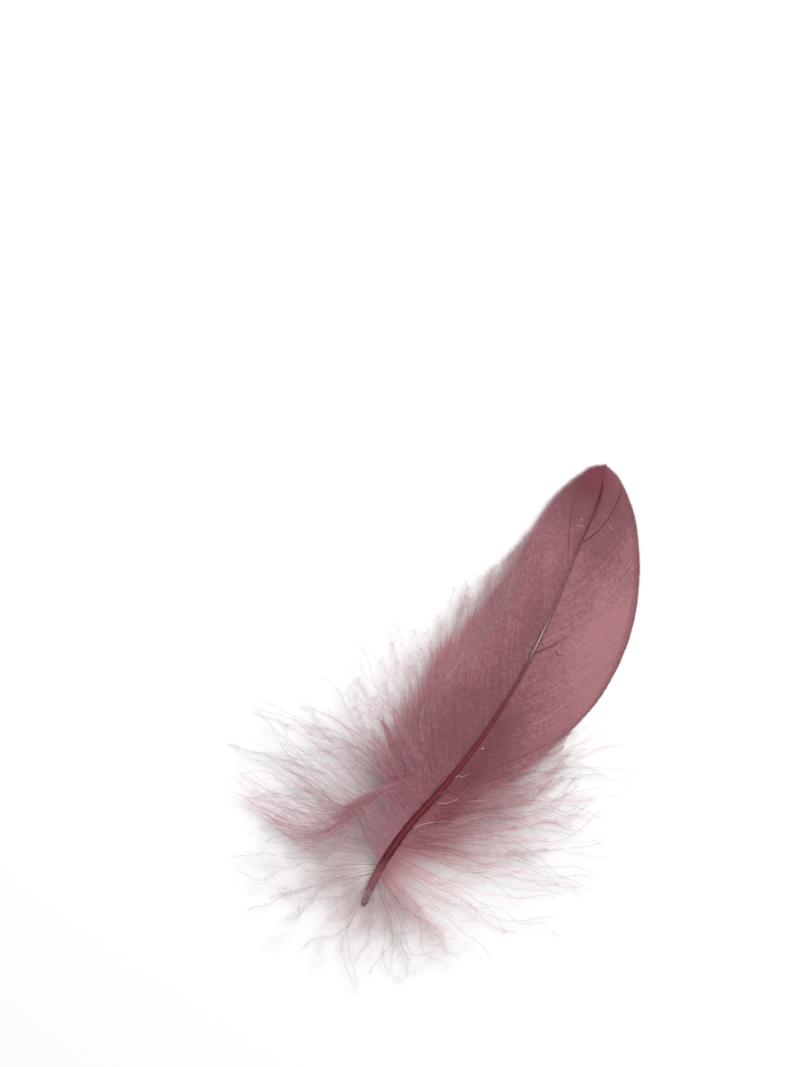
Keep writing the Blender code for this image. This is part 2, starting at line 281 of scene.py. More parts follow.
def add_node(tree, kind, inputs, **settings):
    """A shader node. `inputs` gives a socket, by name or number, a value or another node's output."""
    made = tree.nodes.new(kind)
    for setting, value in settings.items():
        setattr(made, setting, value)
    for socket, value in inputs.items():
        if isinstance(value, bpy.types.NodeSocket):
            tree.links.new(value, made.inputs[socket])
        else:
            made.inputs[socket].default_value = value
    return made


def mark_of(tree, name):
    """The value that the mesh carries under this name."""
    return add_node(tree, "ShaderNodeAttribute", {}, attribute_name=name).outputs["Fac"]


def calc(tree, operation, first, second=0.0, third=0.0, clamp=False):
    """One step of arithmetic."""
    given = {0: first, 1: second, 2: third}
    return add_node(tree, "ShaderNodeMath", given, operation=operation, use_clamp=clamp).outputs[0]


def share_by(tree, value, slope):
    """A share that follows a value: times the slope's first number, plus its second, and held between
    nought and one."""
    return calc(tree, "MULTIPLY_ADD", value, *slope, clamp=True)


def vary(tree, share, value, much, clamp=False):
    """A share moved up or down by how far a value is from one half, times `much`."""
    return calc(tree, "MULTIPLY_ADD", calc(tree, "SUBTRACT", value, 0.5), much, share, clamp)


def stretched(tree, first, second, scales):
    """A place in a pattern, by two values, each with its own scale."""
    scaled = [calc(tree, "MULTIPLY", value, scale) for value, scale in zip((first, second), scales)]
    return add_node(tree, "ShaderNodeCombineXYZ", {0: scaled[0], 1: scaled[1], 2: 0.0}).outputs[0]


def noise(tree, where, scale, detail=2.0, rough=0.5, distortion=0.0):
    """Clouds of a value between nought and one."""
    given = {"Vector": where, "Scale": scale, "Detail": detail, "Roughness": rough}
    return add_node(tree, "ShaderNodeTexNoise", {**given, "Distortion": distortion}).outputs["Fac"]


def blend(tree, share, first, second, way="MIX"):
    """Two colours mixed by a share."""
    given = {0: share, 6: first, 7: second}
    return add_node(tree, "ShaderNodeMix", given, data_type="RGBA", blend_type=way).outputs[2]


def ramp(tree, share, stops):
    """A colour read off a strip of stops, each a place and a colour."""
    made = add_node(tree, "ShaderNodeValToRGB", {0: share})
    strip = made.color_ramp.elements
    while len(strip) < len(stops):
        strip.new(0.5)
    for stop, (place, colour) in zip(strip, stops):
        stop.position = place
        stop.color = (*colour, 1.0)
    return made.outputs["Color"]


def new_material(name):
    """An empty material, and its node tree."""
    made = bpy.data.materials.new(name)
    made.use_nodes = True
    made.node_tree.nodes.clear()
    return made, made.node_tree


def show(tree, shader):
    """Makes this shader the material's surface."""
    add_node(tree, "ShaderNodeOutputMaterial", {"Surface": shader.outputs[0]})


HORN_STOPS = (
    (0.000, (0.030, 0.012, 0.013)),
    (0.012, (0.060, 0.018, 0.021)),
    (0.028, (0.330, 0.150, 0.170)),
    (0.070, (0.330, 0.110, 0.135)),
    (0.110, (0.130, 0.014, 0.022)),
    (0.300, (0.185, 0.018, 0.028)),
    (0.450, (0.230, 0.028, 0.040)),
    (0.580, (0.240, 0.055, 0.068)),
    (0.680, (0.340, 0.160, 0.180)),
    (0.790, (0.320, 0.140, 0.155)),
    (0.830, (0.230, 0.075, 0.090)),
    (0.870, (0.130, 0.022, 0.033)),
    (0.905, (0.180, 0.045, 0.058)),
    (0.930, (0.260, 0.095, 0.108)),
)
# The painted highlight along the shaft's top: a lighter line that stands in for the horn's gloss.
BACK_HIGHLIGHT_STOPS = (
    (0.000, (0.300, 0.140, 0.160)),
    (0.110, (0.280, 0.060, 0.074)),
    (0.280, (0.240, 0.038, 0.050)),
    (0.540, (0.240, 0.040, 0.052)),
    (0.590, (0.330, 0.100, 0.110)),
    (0.680, (0.340, 0.160, 0.180)),
    (0.790, (0.320, 0.140, 0.155)),
    (0.870, (0.130, 0.026, 0.038)),
    (0.950, (0.290, 0.120, 0.135)),
)
# The paler painted highlight on a short stretch of the shaft's top.
HORN_GLINT = (0.640, 0.430, 0.460, 1.0)
BLACK = (0.0, 0.0, 0.0, 1.0)
GLINT_MIDDLE = 0.636  # how far up the shaft the paler painted highlight on its top is centred
# Slopes of shares: where the painted highlight line is by the corner's height, and the paler painted
# highlight stretch by its distance from that middle and by the height.
BACK_HIGHLIGHT_SLOPE = (9.0, -8.35)
GLINT_SLOPE = (-30.0, 1.45)
GLINT_TOP_SLOPE = (4.0, -2.5)
BACK_HIGHLIGHT_STRENGTH = 0.8
GRAIN_SCALES = (26.0, 34.0)  # round the shaft, along it
GRAIN_SLOPE = (1.6, -0.55)
GRAIN_DARK = 0.40  # how much black its dark streaks have
GRAIN_RELIEF = 0.00006
HORN_ROUGHNESS = (0.30, 0.30)  # the part that goes with the grain, and the least


def make_horn():
    """Dyed horn: the colour follows the length, a lighter line down the shaft's top is a painted
    highlight of its gloss, a short stretch of the top has a paler painted highlight, fine grain runs
    lengthwise, and the gloss is broken by it."""
    made, tree = new_material("dyed_horn")
    reach, around, top = (mark_of(tree, mark) for mark in ("reach", "tone", "edge"))
    grain = noise(tree, stretched(tree, around, reach, GRAIN_SCALES), 1.0, 4.0)
    colour = ramp(tree, reach, HORN_STOPS)
    # Painted highlights: a lighter line along the top, and a paler stretch of it.
    back_highlight = calc(tree, "MULTIPLY", share_by(tree, top, BACK_HIGHLIGHT_SLOPE), BACK_HIGHLIGHT_STRENGTH)
    colour = blend(tree, back_highlight, colour, ramp(tree, reach, BACK_HIGHLIGHT_STOPS))
    off_middle = calc(tree, "ABSOLUTE", calc(tree, "SUBTRACT", reach, GLINT_MIDDLE))
    glint = share_by(tree, off_middle, GLINT_SLOPE)
    glint = calc(tree, "MULTIPLY", glint, share_by(tree, top, GLINT_TOP_SLOPE))
    colour = blend(tree, glint, colour, HORN_GLINT)
    darker = blend(tree, GRAIN_DARK, colour, BLACK)
    colour = blend(tree, share_by(tree, grain, GRAIN_SLOPE), darker, colour)
    relief = {"Strength": 0.35, "Distance": GRAIN_RELIEF, "Height": grain}
    bump = add_node(tree, "ShaderNodeBump", relief).outputs[0]
    rough = calc(tree, "MULTIPLY_ADD", grain, *HORN_ROUGHNESS)
    shader = add_node(
        tree, "ShaderNodeBsdfPrincipled",
        {"Base Color": colour, "Roughness": rough, "Normal": bump, "Specular IOR Level": 0.25},
    )
    show(tree, shader)
    return made


make_piece("shaft", shaft_skin(), make_horn())


# --- The vanes ---------------------------------------------------------------------------------------
# To each side of the shaft grow some two hundred barbs. Each is a thin rib with a web on both sides
# that hooks on to its neighbours' webs, which makes one closed sheet. Towards its tip a barb comes
# loose from the sheet and bears free side hairs. The lowest barbs are loose for most of their length.

# Each row is one barb, and the others lie between the rows: how far along the shaft it grows, how it
# leans away from +Y in degrees, where its tip is (across, along), how high the tip stands.
RIGHT_BARBS = np.array([
    (0.0115, 70, 0.0235, 0.0225, 0.0008),
    (0.0145, 58, 0.0245, 0.0310, 0.0006),
    (0.0178, 48, 0.0212, 0.0370, 0.0004),
    (0.0205, 45, 0.0176, 0.0388, 0.0003),
    (0.0230, 45, 0.0169, 0.0410, 0.0002),
    (0.0254, 47, 0.0177, 0.0440, 0.0002),
    (0.0293, 47, 0.0188, 0.0490, 0.0001),
    (0.0338, 46, 0.0191, 0.0545, 0.0001),
    (0.0388, 45, 0.0186, 0.0602, 0.0001),
    (0.0438, 44, 0.0172, 0.0657, 0.0002),
    (0.0490, 43, 0.0150, 0.0709, 0.0003),
    (0.0555, 41, 0.0123, 0.0755, 0.0005),
    (0.0635, 38, 0.0091, 0.0797, 0.0006),
    (0.0705, 35, 0.0056, 0.0827, 0.0005),
    (0.0755, 18, 0.0034, 0.0840, 0.0004),
    (0.0800, -14, 0.0011, 0.0845, 0.0004),
])
LEFT_BARBS = np.array([
    (0.0165, -57, -0.0205, 0.0315, 0.0012),
    (0.0188, -49, -0.0190, 0.0385, 0.0006),
    (0.0213, -41, -0.0160, 0.0470, 0.0003),
    (0.0244, -36, -0.0122, 0.0530, 0.0002),
    (0.0278, -33, -0.0092, 0.0575, 0.0004),
    (0.0322, -31, -0.0068, 0.0615, 0.0007),
    (0.0380, -30, -0.0052, 0.0665, 0.0009),
    (0.0440, -30, -0.0047, 0.0710, 0.0009),
    (0.0505, -31, -0.0042, 0.0750, 0.0008),
    (0.0580, -32, -0.0031, 0.0785, 0.0006),
    (0.0660, -32, -0.0018, 0.0810, 0.0005),
    (0.0740, -25, -0.0006, 0.0831, 0.0004),
    (0.0800, -17, 0.0013, 0.0844, 0.0004),
])
BARB_SWING = 0.45  # how much of its length a barb keeps its first direction
BARB_RISE = 0.0006  # how far the middle of a barb arches over the line of its droop

# Splits: how far along the shaft, how much of the barb stays joined, half the width at the mouth.
RIGHT_SPLITS = (
    (0.0310, 0.93, 0.00008), (0.0405, 0.95, 0.00006), (0.0520, 0.94, 0.00006), (0.0590, 0.92, 0.00008),
    (0.0668, 0.90, 0.00008), (0.0706, 0.40, 0.00008), (0.0765, 0.88, 0.00006),
)
LEFT_SPLITS = (
    (0.0243, 0.40, 0.00014), (0.0303, 0.55, 0.00016), (0.0339, 0.68, 0.00012), (0.0384, 0.62, 0.00016),
    (0.0497, 0.76, 0.00018), (0.0560, 0.74, 0.00016), (0.0655, 0.50, 0.00008), (0.0738, 0.76, 0.00014),
)
# Painted crease shadows, dark lines where a crease's shade would fall: how far along the shaft, from
# which part of the barb to which, half width, how dark.
RIGHT_CREASE_SHADOWS = (
    (0.0506, 0.01, 0.32, 0.00026, 0.90), (0.0706, 0.06, 0.98, 0.00024, 0.90),
    (0.0530, 0.76, 0.97, 0.00014, 0.60), (0.0560, 0.82, 0.97, 0.00012, 0.50),
    (0.0500, 0.55, 0.80, 0.00010, 0.45),
)
LEFT_CREASE_SHADOWS = ((0.0655, 0.08, 0.80, 0.00022, 0.85), (0.0400, 0.10, 0.28, 0.00014, 0.45))
SPLIT_REACH = 0.0011  # how far from a split its barbs are pushed aside
SPLIT_ROUND = 0.6  # the power by which a split opens; below one it is blunt where it starts
LIP_WIDTH = 0.00035  # how far from a split its lip is raised
LIP_RISE = 0.00008

# How much of a barb is hooked into the sheet, by how far along the shaft it grows.
RIGHT_HOOKED = np.array([
    (0.0115, 0.18), (0.0150, 0.28), (0.0180, 0.42), (0.0196, 0.60), (0.0212, 0.80), (0.0232, 0.91),
    (0.0260, 0.965), (0.0340, 0.99), (0.0500, 0.995), (0.0660, 0.985), (0.0800, 0.95),
])
LEFT_HOOKED = np.array([
    (0.0165, 0.30), (0.0200, 0.48), (0.0240, 0.62), (0.0300, 0.77), (0.0400, 0.89), (0.0500, 0.94),
    (0.0660, 0.965), (0.0800, 0.97),
])

# Where the colour is deeper or, below nought, paler: across, along, half width, half length, by how
# much. It is partly the dye's own, as at the tip, and partly painted light: painted shade along the
# shaft, and a painted sheen where it is paler.
DYE_AND_SHADE_PATCHES = np.array([
    (0.0004, 0.0815, 0.0026, 0.0032, 1.60),
    (0.0056, 0.0795, 0.0054, 0.0060, 1.00),
    (-0.0012, 0.0775, 0.0036, 0.0060, 0.55),
    (0.0130, 0.0700, 0.0050, 0.0060, 0.24),
    (0.0080, 0.0690, 0.0034, 0.0050, 0.20),
    (0.0085, 0.0420, 0.0034, 0.0110, 0.40),
    (0.0085, 0.0300, 0.0060, 0.0070, 0.50),
    (0.0044, 0.0203, 0.0034, 0.0040, 1.15),
    (0.0030, 0.0530, 0.0026, 0.0140, 0.25),
    (0.0028, 0.0195, 0.0014, 0.0050, 1.00),
    (0.0050, 0.0275, 0.0026, 0.0048, 0.70),
    (0.0058, 0.0370, 0.0022, 0.0060, 0.60),
    (0.0066, 0.0490, 0.0022, 0.0070, 0.14),
    (0.0078, 0.0610, 0.0030, 0.0090, 0.32),
    (0.0062, 0.0712, 0.0028, 0.0036, 0.36),
    (0.0078, 0.0745, 0.0024, 0.0030, 0.22),
    (-0.0005, 0.0370, 0.0050, 0.0080, 0.20),
    (-0.0018, 0.0290, 0.0060, 0.0090, 0.34),
    (0.0010, 0.0460, 0.0040, 0.0130, 0.25),
    (-0.0090, 0.0440, 0.0040, 0.0070, -0.20),
    (0.0130, 0.0590, 0.0050, 0.0080, -0.15),
    (0.0165, 0.0500, 0.0030, 0.0070, -0.20),
])

BARB_STEPS = 28
BARB_RIB = 0.22  # half the rib's width, as a share of half the barb's
BARB_TOP = 0.000030
BARB_BOTTOM = 0.000060
BARB_EDGE = 0.000008  # half as thick as a web is at its edge
BARB_STRAY = 0.08  # how unevenly the barbs are spaced, as a share of the spacing
ALIKE = 9  # over so many barbs the hooking varies alike
OWN_HOOKING = 0.3  # how much of that variation is each barb's own
HOOK_STRAY = 0.004
LOOSE_HOOK_STRAY = 0.12  # how much more it varies among the loosest
LOOSE_BELOW = 0.85  # with less than this hooked, a barb is the shorter and the looser
LOOSE_SHORTER = 0.80
STRAY_BELOW = 0.90  # with less than this hooked, its hooking varies more
LOOSE_FADE = 0.35
ROOT_SUNK = 0.0001  # how far below the shaft's line a barb begins
LEAST_GAP = 0.00002  # barbs that run together count as this far apart
WEB_OVERLAP = 1.25  # the web reaches this far over its neighbour's
MOST_SPREAD = 2.0  # how much further apart than at the shaft barbs can be and still be hooked
SPREAD_FADE = 1.6  # how much further still until they are quite loose
FREE_WIDTH = 0.30  # a free barb's width, as a share of a hooked one's, and at most
FREE_HALF = 0.000030  # this to each side
FREE_SWAY = 0.0011
FREE_TURNS = (8, 20)  # how fast it sways, in radians for the barb's length
FREE_DRIFT = 0.0042
FREE_LIFT = (-0.0002, 0.0012)  # how high it stands, where this much is past its hooked part:
FREE_LIFT_AT = 0.3
BARB_LIFT = 0.000006  # how much neighbours differ in height
TIP_START = 0.985  # where a barb begins to close at its tip
TIP_NARROWS = 0.25  # its width where it closes, as a share
ROOT_NARROWS = (0.02, 0.6)  # over how much of its length it widens from its root, and from which share
LEAST_THICK = 0.3  # its thickness where it is narrow, as a share
RIB_THINS = 0.35  # how much thinner its rib is at the tip
RIB_MOST = 0.9  # a rib's width as a share of its web's, at most
FREE_TAPER = (1.2, 0.9)  # a free barb's width at its root, as a share, and how much of that it loses
FREE_FADE = 0.05  # over how much of its length a barb comes loose, at least

# The corners of a barb's ring: how far towards its left edge, how much of the web's width that takes,
# and its height.
BARB_RING = (
    (1.0, True, BARB_EDGE), (1.0, False, BARB_TOP), (-1.0, False, BARB_TOP),
    (-1.0, True, -BARB_EDGE), (-1.0, False, -BARB_BOTTOM), (1.0, False, -BARB_BOTTOM),
)
RIB_SIDES = np.array([0.0, 0.4, 0.6, 1.0, 0.6, 0.4])  # each corner's place across the bake's patch
WEB_EDGE = np.array([1.0, 0.0, 0.0, 1.0, 0.0, 0.0])
RIB_BAND = (0.0, 0.45)  # the part of the bake's map that the barbs take
HAIR_BAND = (0.46, 1.0)
BAND_GAP = 0.01

WAVE_LENGTHS = (0.0041, 0.0075, 0.0130)
WAVE_HEIGHT = 0.011  # as a share of the wave's length
WAVE_DRIFT = 1.5  # how far a wave shifts from the shaft to the barbs' tips, in radians
WAVE_END = 1.15  # how far out the waves would be flat again, in lengths of a barb
CREASE_STARTS, CREASE_ENDS = 0.03, 0.12  # over how much of a barb a crease fades in, and out


def bend(root, lean, tip, part):
    """Points of a barb seen from above: a quadratic curve from its root to its tip, which leaves the
    shaft at `lean` degrees from +Y."""
    way = np.stack([np.sin(np.radians(lean)), np.cos(np.radians(lean))], axis=-1)
    reach = np.linalg.norm(tip - root, axis=-1, keepdims=True)
    knee = root + way * reach * BARB_SWING
    part = part[..., None]
    return (1 - part) ** 2 * root + 2 * part * (1 - part) * knee + part**2 * tip


def barb_points(barbs, place, part):
    """Where a vane is: for a barb that grows at `place`, the point at `part` of its length. From above
    it is the barb's bend. Its height droops from the shaft's to the tip's with the square of the part,
    and a sine arches it."""
    found = through(barbs, place)
    root = shaft_line(np.clip(place, barbs[0, 0], barbs[-1, 0]))
    flat = bend(root[..., :2], found[..., 0], found[..., 1:3], part)
    height = root[..., 2] * (1 - part**2) + found[..., 3] * part**2 + BARB_RISE * np.sin(np.pi * part)
    return np.concatenate([flat, height[..., None]], axis=-1)


def split_marks(place, part, splits):
    """At each point of each barb: how far the splits push it along the shaft, and how much they raise
    it. A split opens from where it stops being joined to the tip. The push is half its width and dies
    away from it exponentially, and its upper lip rises as a bell curve."""
    push, rise = (np.zeros(np.broadcast(place, part).shape) for _ in range(2))
    for where, held, half in splits:
        opening = np.clip((part - held) / (1 - held), 0, 1) ** SPLIT_ROUND
        off = place - where
        push = push + np.sign(off) * half * opening * np.exp(-np.abs(off) / SPLIT_REACH)
        rise = rise + np.where(off > 0, LIP_RISE, 0.0) * np.exp(-((off / LIP_WIDTH) ** 2)) * opening
    return push, rise


def crease_shadow_marks(place, part, crease_shadows):
    """How dark the painted crease shadows make each point: a bell curve across each, that fades in at
    its start, and more slowly out at its end."""
    crease_shadow = np.zeros(np.broadcast(place, part).shape)
    for where, begins, ends, half, much in crease_shadows:
        begun = np.clip((part - begins) / CREASE_STARTS, 0, 1)
        left = np.clip((ends - part) / CREASE_ENDS, 0, 1)
        crease_shadow = crease_shadow + much * begun * left * np.exp(-(((place - where) / half) ** 2))
    return crease_shadow


def vane_waves(place, part, rng):
    """Low waves over a vane: the sum of a few sines across the barbs. They are flat at the shaft, and
    highest near the middle of the barbs."""
    wave = 0.0
    for length in WAVE_LENGTHS:
        start, drift = rng.uniform(0, 2 * np.pi), rng.uniform(-WAVE_DRIFT, WAVE_DRIFT)
        wave = wave + length * np.sin(2 * np.pi * place / length + start + drift * part)
    return wave * WAVE_HEIGHT * part * (WAVE_END - part)


def dye_and_shade_depth(points):
    """How much deeper the colour is at these points than elsewhere, from the dye and from painted shade
    and sheen: the sum of the table's bell curves.
    """
    depth = np.zeros(points.shape[:-1])
    for across, along, wide, long, much in DYE_AND_SHADE_PATCHES:
        off = ((points[..., 0] - across) / wide) ** 2 + ((points[..., 1] - along) / long) ** 2
        depth = depth + much * np.exp(-off)
    return depth


def lay_barbs(barbs, hooked, count, spread, rng):
    """Where each barb of a vane grows, how much of it is hooked, and its length as a share of the
    vane's. The hooking varies by a running sum of chance, and by each barb's own. The lengths differ
    by `spread`, and those of loose barbs by more."""
    first, last = barbs[0, 0], barbs[-1, 0]
    stray = rng.normal(0, BARB_STRAY, count) * (last - first) / (count - 1)
    place = np.clip(np.linspace(first, last, count) + stray, first, last)[:, None]
    held = through(hooked, place)[..., 0]
    alike = np.convolve(rng.normal(0, 1, count + ALIKE - 1), np.full(ALIKE, ALIKE**-0.5), mode="valid")
    uneven = alike[:, None] + rng.normal(0, OWN_HOOKING, (count, 1))
    held = held + uneven * (HOOK_STRAY + LOOSE_HOOK_STRAY * np.clip(STRAY_BELOW - held, 0, 1))
    shorter = spread + LOOSE_SHORTER * np.clip(LOOSE_BELOW - held, 0, 1)
    return place, held, 1 - shorter * rng.uniform(0, 1, (count, 1)) ** 1.2


def barb_sway(past, rng):
    """How far barbs wander along the shaft, by how much of them is past their hooked part: a sine that
    grows with the root of that, and a steady drift."""
    count = len(past)
    swing = rng.normal(0, 1, (count, 1)) * np.sin(past * rng.uniform(*FREE_TURNS, (count, 1)))
    return swing * np.sqrt(past) * FREE_SWAY + rng.normal(0, 1, (count, 1)) * FREE_DRIFT * past


def vane_skin(barbs, splits, crease_shadows, hooked, count, side, spread, rng):
    """All the barbs of one vane, and with them the barbs' lines, their hooked shares and their tones. A
    barb's middle is the vane's own surface at the place it grows, and its edges are the surface half a
    spacing to either side, so neighbours meet. Where it comes loose, or the barbs lie too far apart to
    be hooked, its web narrows to little more than the rib, and the barb wanders off. `side` is above
    nought to the right of the shaft."""
    place, held, length = lay_barbs(barbs, hooked, count, spread, rng)
    spacing = (barbs[-1, 0] - barbs[0, 0]) / (count - 1)
    own = np.append(TIP_START * np.linspace(0, 1, BARB_STEPS) ** 0.9, 1.0)
    part = own * length
    push, rise = split_marks(place, part, splits)
    past = (part - held).clip(0)
    gap = barb_points(barbs, place + spacing / 2, part) - barb_points(barbs, place - spacing / 2, part)
    gap = np.linalg.norm(gap, axis=-1).clip(LEAST_GAP)
    fade = FREE_FADE + LOOSE_FADE * np.clip(LOOSE_BELOW - held, 0, 1)
    loose = np.clip(np.maximum(past / fade, (gap / spacing - MOST_SPREAD) / SPREAD_FADE), 0, 1)
    at = place + push + barb_sway(past, rng) * loose * np.minimum(spacing / gap, 1.0)
    middle, far, near = (barb_points(barbs, at + off * spacing / 2, part) for off in (0, 1, -1))
    left, right = (far, near) if side > 0 else (near, far)
    lift = vane_waves(place, part, rng) + rise + rng.normal(0, BARB_LIFT, (count, 1))
    lift = lift + loose * rng.uniform(*FREE_LIFT, (count, 1)) * past / FREE_LIFT_AT
    widening, narrowest = ROOT_NARROWS
    taper = np.where(own < 1, 1.0, TIP_NARROWS) * np.clip(own / widening, narrowest, 1)
    free = np.minimum(FREE_WIDTH, 2 * FREE_HALF / gap) * (FREE_TAPER[0] - FREE_TAPER[1] * own)
    web = taper * ((1 - loose) * WEB_OVERLAP + loose * free)
    rib = np.minimum(BARB_RIB * taper * (1 - RIB_THINS * own), web * RIB_MOST)
    rings = []
    for to, is_edge, height in BARB_RING:
        edge = (left if to > 0 else right) - middle
        reach = (web if is_edge else rib)[..., None]
        up = (lift + height * np.clip(taper, LEAST_THICK, 1))[..., None] * UP
        rings.append(middle + edge * reach + up)
    rings = np.stack(rings, axis=2)
    tone = rng.uniform(0, 1, count)
    span = (place - barbs[0, 0]) / (barbs[-1, 0] - barbs[0, 0])
    # The painted crease shadows.
    crease_shadow = crease_shadow_marks(place, part, crease_shadows)
    marks = corner_marks(
        rings.shape[:3], own_patch(count, RIB_SIDES, own[:, None], RIB_BAND),
        tone=tone[:, None, None], reach=part[..., None], edge=WEB_EDGE, place=span[..., None],
        shade=crease_shadow[..., None], free=loose[..., None], deep=dye_and_shade_depth(rings),
    )
    ribs = skin(middle[:, 0] - ROOT_SUNK * UP, rings[:, 1:], rings[:, -1].mean(axis=1), marks[:, 1:])
    return ribs, middle + lift[..., None] * UP, held[:, 0] / length[:, 0], tone


HAIR_STRAY = 14  # how much hairs differ in lean, in degrees
HAIR_ROLL = 0.6  # how far they leave the strand's own plane, in radians
HAIR_LENGTHS = (0.35, 1.1)
HAIR_FORWARD = (0.1, 0.9)  # how much a hair's end turns towards its strand's tip
HAIR_DROOP = 0.3  # and how much down
HAIR_OUT = 0.62  # and how much it keeps its first direction
OWN_TONE = 0.6  # how much of a hair's tone is its own
HAIR_PATCH = 0.45  # how far a hair's ends are from its middle on the bake's map, as a share of a row


def side_hairs(path, tone, start, count, length, band, rng, lean, radius, crowd, fade):
    """Fine hairs that grow from strands, in pairs from `start` of the way to the tip, the more crowded
    towards the root the higher the power `crowd`, and shorter by `fade` at the tip. A hair leaves its
    strand at `lean` degrees, in a plane turned by chance about it, and bends towards the strand's tip:
    its middle is half its length out, and its end turns forward and down from there. Each is two
    pyramids, base to base."""
    strands, steps = path.shape[:2]
    at = start[:, None] + (1 - start[:, None]) * rng.uniform(0, 1, (strands, count)) ** crowd
    at = np.clip(at, 0, 0.999)
    low = (at * (steps - 1)).astype(int)
    share = (at * (steps - 1) - low)[..., None]
    row = np.arange(strands)[:, None]
    base = path[row, low] * (1 - share) + path[row, low + 1] * share
    ahead, aside, above = (way[row, low] for way in sides_of(path))
    hand = np.where(np.arange(count) % 2, 1.0, -1.0)[None, :, None]
    angle = np.radians(lean + rng.normal(0, HAIR_STRAY, (strands, count, 1)))
    roll = rng.normal(0, HAIR_ROLL, (strands, count, 1))
    out = aside * hand * np.cos(roll) + above * np.sin(roll)
    way = ahead * np.cos(angle) + out * np.sin(angle)
    size = (length * (1 - fade * at) * rng.uniform(*HAIR_LENGTHS, (strands, count)))[..., None]
    middle = base + way * size * 0.5
    turned = way * HAIR_OUT + ahead * rng.uniform(*HAIR_FORWARD, size.shape) - above * HAIR_DROOP
    tip = middle + unit(turned) * size * 0.5
    first, middle, last = (points.reshape(-1, 3) for points in (base, middle, tip))
    total = len(first)
    ring = rings_round(np.stack([first, middle, last], axis=1), radius, ring_turns(3))[:, 1:2]
    tones = np.repeat(tone, count) * (1 - OWN_TONE) + rng.uniform(0, OWN_TONE, total)
    marks = corner_marks(
        ring.shape[:3], own_patch(total, np.array([0.0, 0.5, 1.0]), 0.5, band),
        tone=tones[:, None, None], reach=at.reshape(-1, 1, 1), edge=0.5, place=0.5, free=1.0,
        deep=dye_and_shade_depth(middle)[:, None, None],
    )
    made = skin(first, ring, last, marks)
    row_height = (band[1] - band[0]) / np.ceil(total / np.ceil(np.sqrt(total)))
    made[3][:, 1] += np.tile(np.array([-1, 0, 0, 0, 1]) * HAIR_PATCH * row_height, total)
    return made


# The dye's patterns: how fine each is, and how much it moves the mixture of the two colours.
STREAK_SCALES = (60.0, 2.2)  # across the strands, along them
PATCH_SCALE, PATCH_SHARE = 110.0, 0.45
MOTTLE_SCALE, MOTTLE_SHARE = 1500.0, 1.1
TONE_SHARE = 0.22
DEEP_SLOPE = (0.32, 0.11)  # how the mixture falls near nought
TINT_SCALE, TINT_SLOPE = 420.0, (2.6, -0.80)
BLUER = (0.98, 1.00, 1.08, 1.0)


def on_object(tree):
    """The place in the part's frame, as a pattern reads it."""
    return add_node(tree, "ShaderNodeTexCoord", {}).outputs["Object"]


def make_dye():
    """A shared effect: uneven dye on strands. Fine streaks run along the strands, broad patches and a
    fine mottle lie over the whole feather, and each strand has its own tone. Their sum, less the depth
    mark there, which holds the dye's depth with painted shade and sheen, mixes the deep and the pale
    colour; near nought it falls less steeply, so deep dye and painted shade keep their grain. Small
    patches of the mixture are bluer."""
    group = bpy.data.node_groups.new("uneven_dye", "ShaderNodeTree")
    for name in ("Deep", "Pale"):
        group.interface.new_socket(name=name, in_out="INPUT", socket_type="NodeSocketColor")
    for name in ("Tone", "Place", "Reach", "Depth", "Streaks", "Level"):
        group.interface.new_socket(name=name, in_out="INPUT", socket_type="NodeSocketFloat")
    group.interface.new_socket(name="Color", in_out="OUTPUT", socket_type="NodeSocketColor")
    given = group.nodes.new("NodeGroupInput").outputs
    streak_at = stretched(group, given["Place"], given["Reach"], STREAK_SCALES)
    streaks = noise(group, streak_at, 1.0, 3.0, 0.65)
    where = on_object(group)
    patches = noise(group, where, PATCH_SCALE, distortion=0.4)
    mottle = noise(group, where, MOTTLE_SCALE)
    share = vary(group, given["Level"], streaks, given["Streaks"])
    for value, much in ((patches, PATCH_SHARE), (mottle, MOTTLE_SHARE), (given["Tone"], TONE_SHARE)):
        share = vary(group, share, value, much)
    share = calc(group, "SUBTRACT", share, given["Depth"])
    share = calc(group, "MAXIMUM", share, calc(group, "MULTIPLY_ADD", share, *DEEP_SLOPE), clamp=True)
    colour = blend(group, share, given["Deep"], given["Pale"])
    tint = share_by(group, noise(group, where, TINT_SCALE, 3.0, 0.6), TINT_SLOPE)
    colour = blend(group, tint, colour, BLUER, "MULTIPLY")
    leaving = group.nodes.new("NodeGroupOutput")
    group.links.new(colour, leaving.inputs["Color"])
    return group


def dyed(tree, deep, pale, streaks, level):
    """The uneven dye between two colours, read off the mesh's own marks."""
    given = {"Deep": deep, "Pale": pale, "Streaks": streaks, "Level": level}
    for socket, mark in (("Tone", "tone"), ("Place", "place"), ("Reach", "reach"), ("Depth", "deep")):
        given[socket] = mark_of(tree, mark)
    return add_node(tree, "ShaderNodeGroup", given, node_tree=uneven_dye).outputs["Color"]


def lit_through(tree, surface, colour, share):
    """A surface that lets a share of the light through in its own colour."""
    glow = add_node(tree, "ShaderNodeBsdfTranslucent", {"Color": colour})
    return add_node(tree, "ShaderNodeMixShader", {0: share, 1: surface.outputs[0], 2: glow.outputs[0]})


uneven_dye = make_dye()
VANE_DEEP = (0.213, 0.069, 0.084, 1.0)
VANE_PALE = (0.480, 0.205, 0.225, 1.0)
VANE_LOOSE = (0.740, 0.460, 0.490, 1.0)
# The painted shadow colour of the creases.
VANE_CREASE_SHADOW = (0.080, 0.022, 0.030, 1.0)
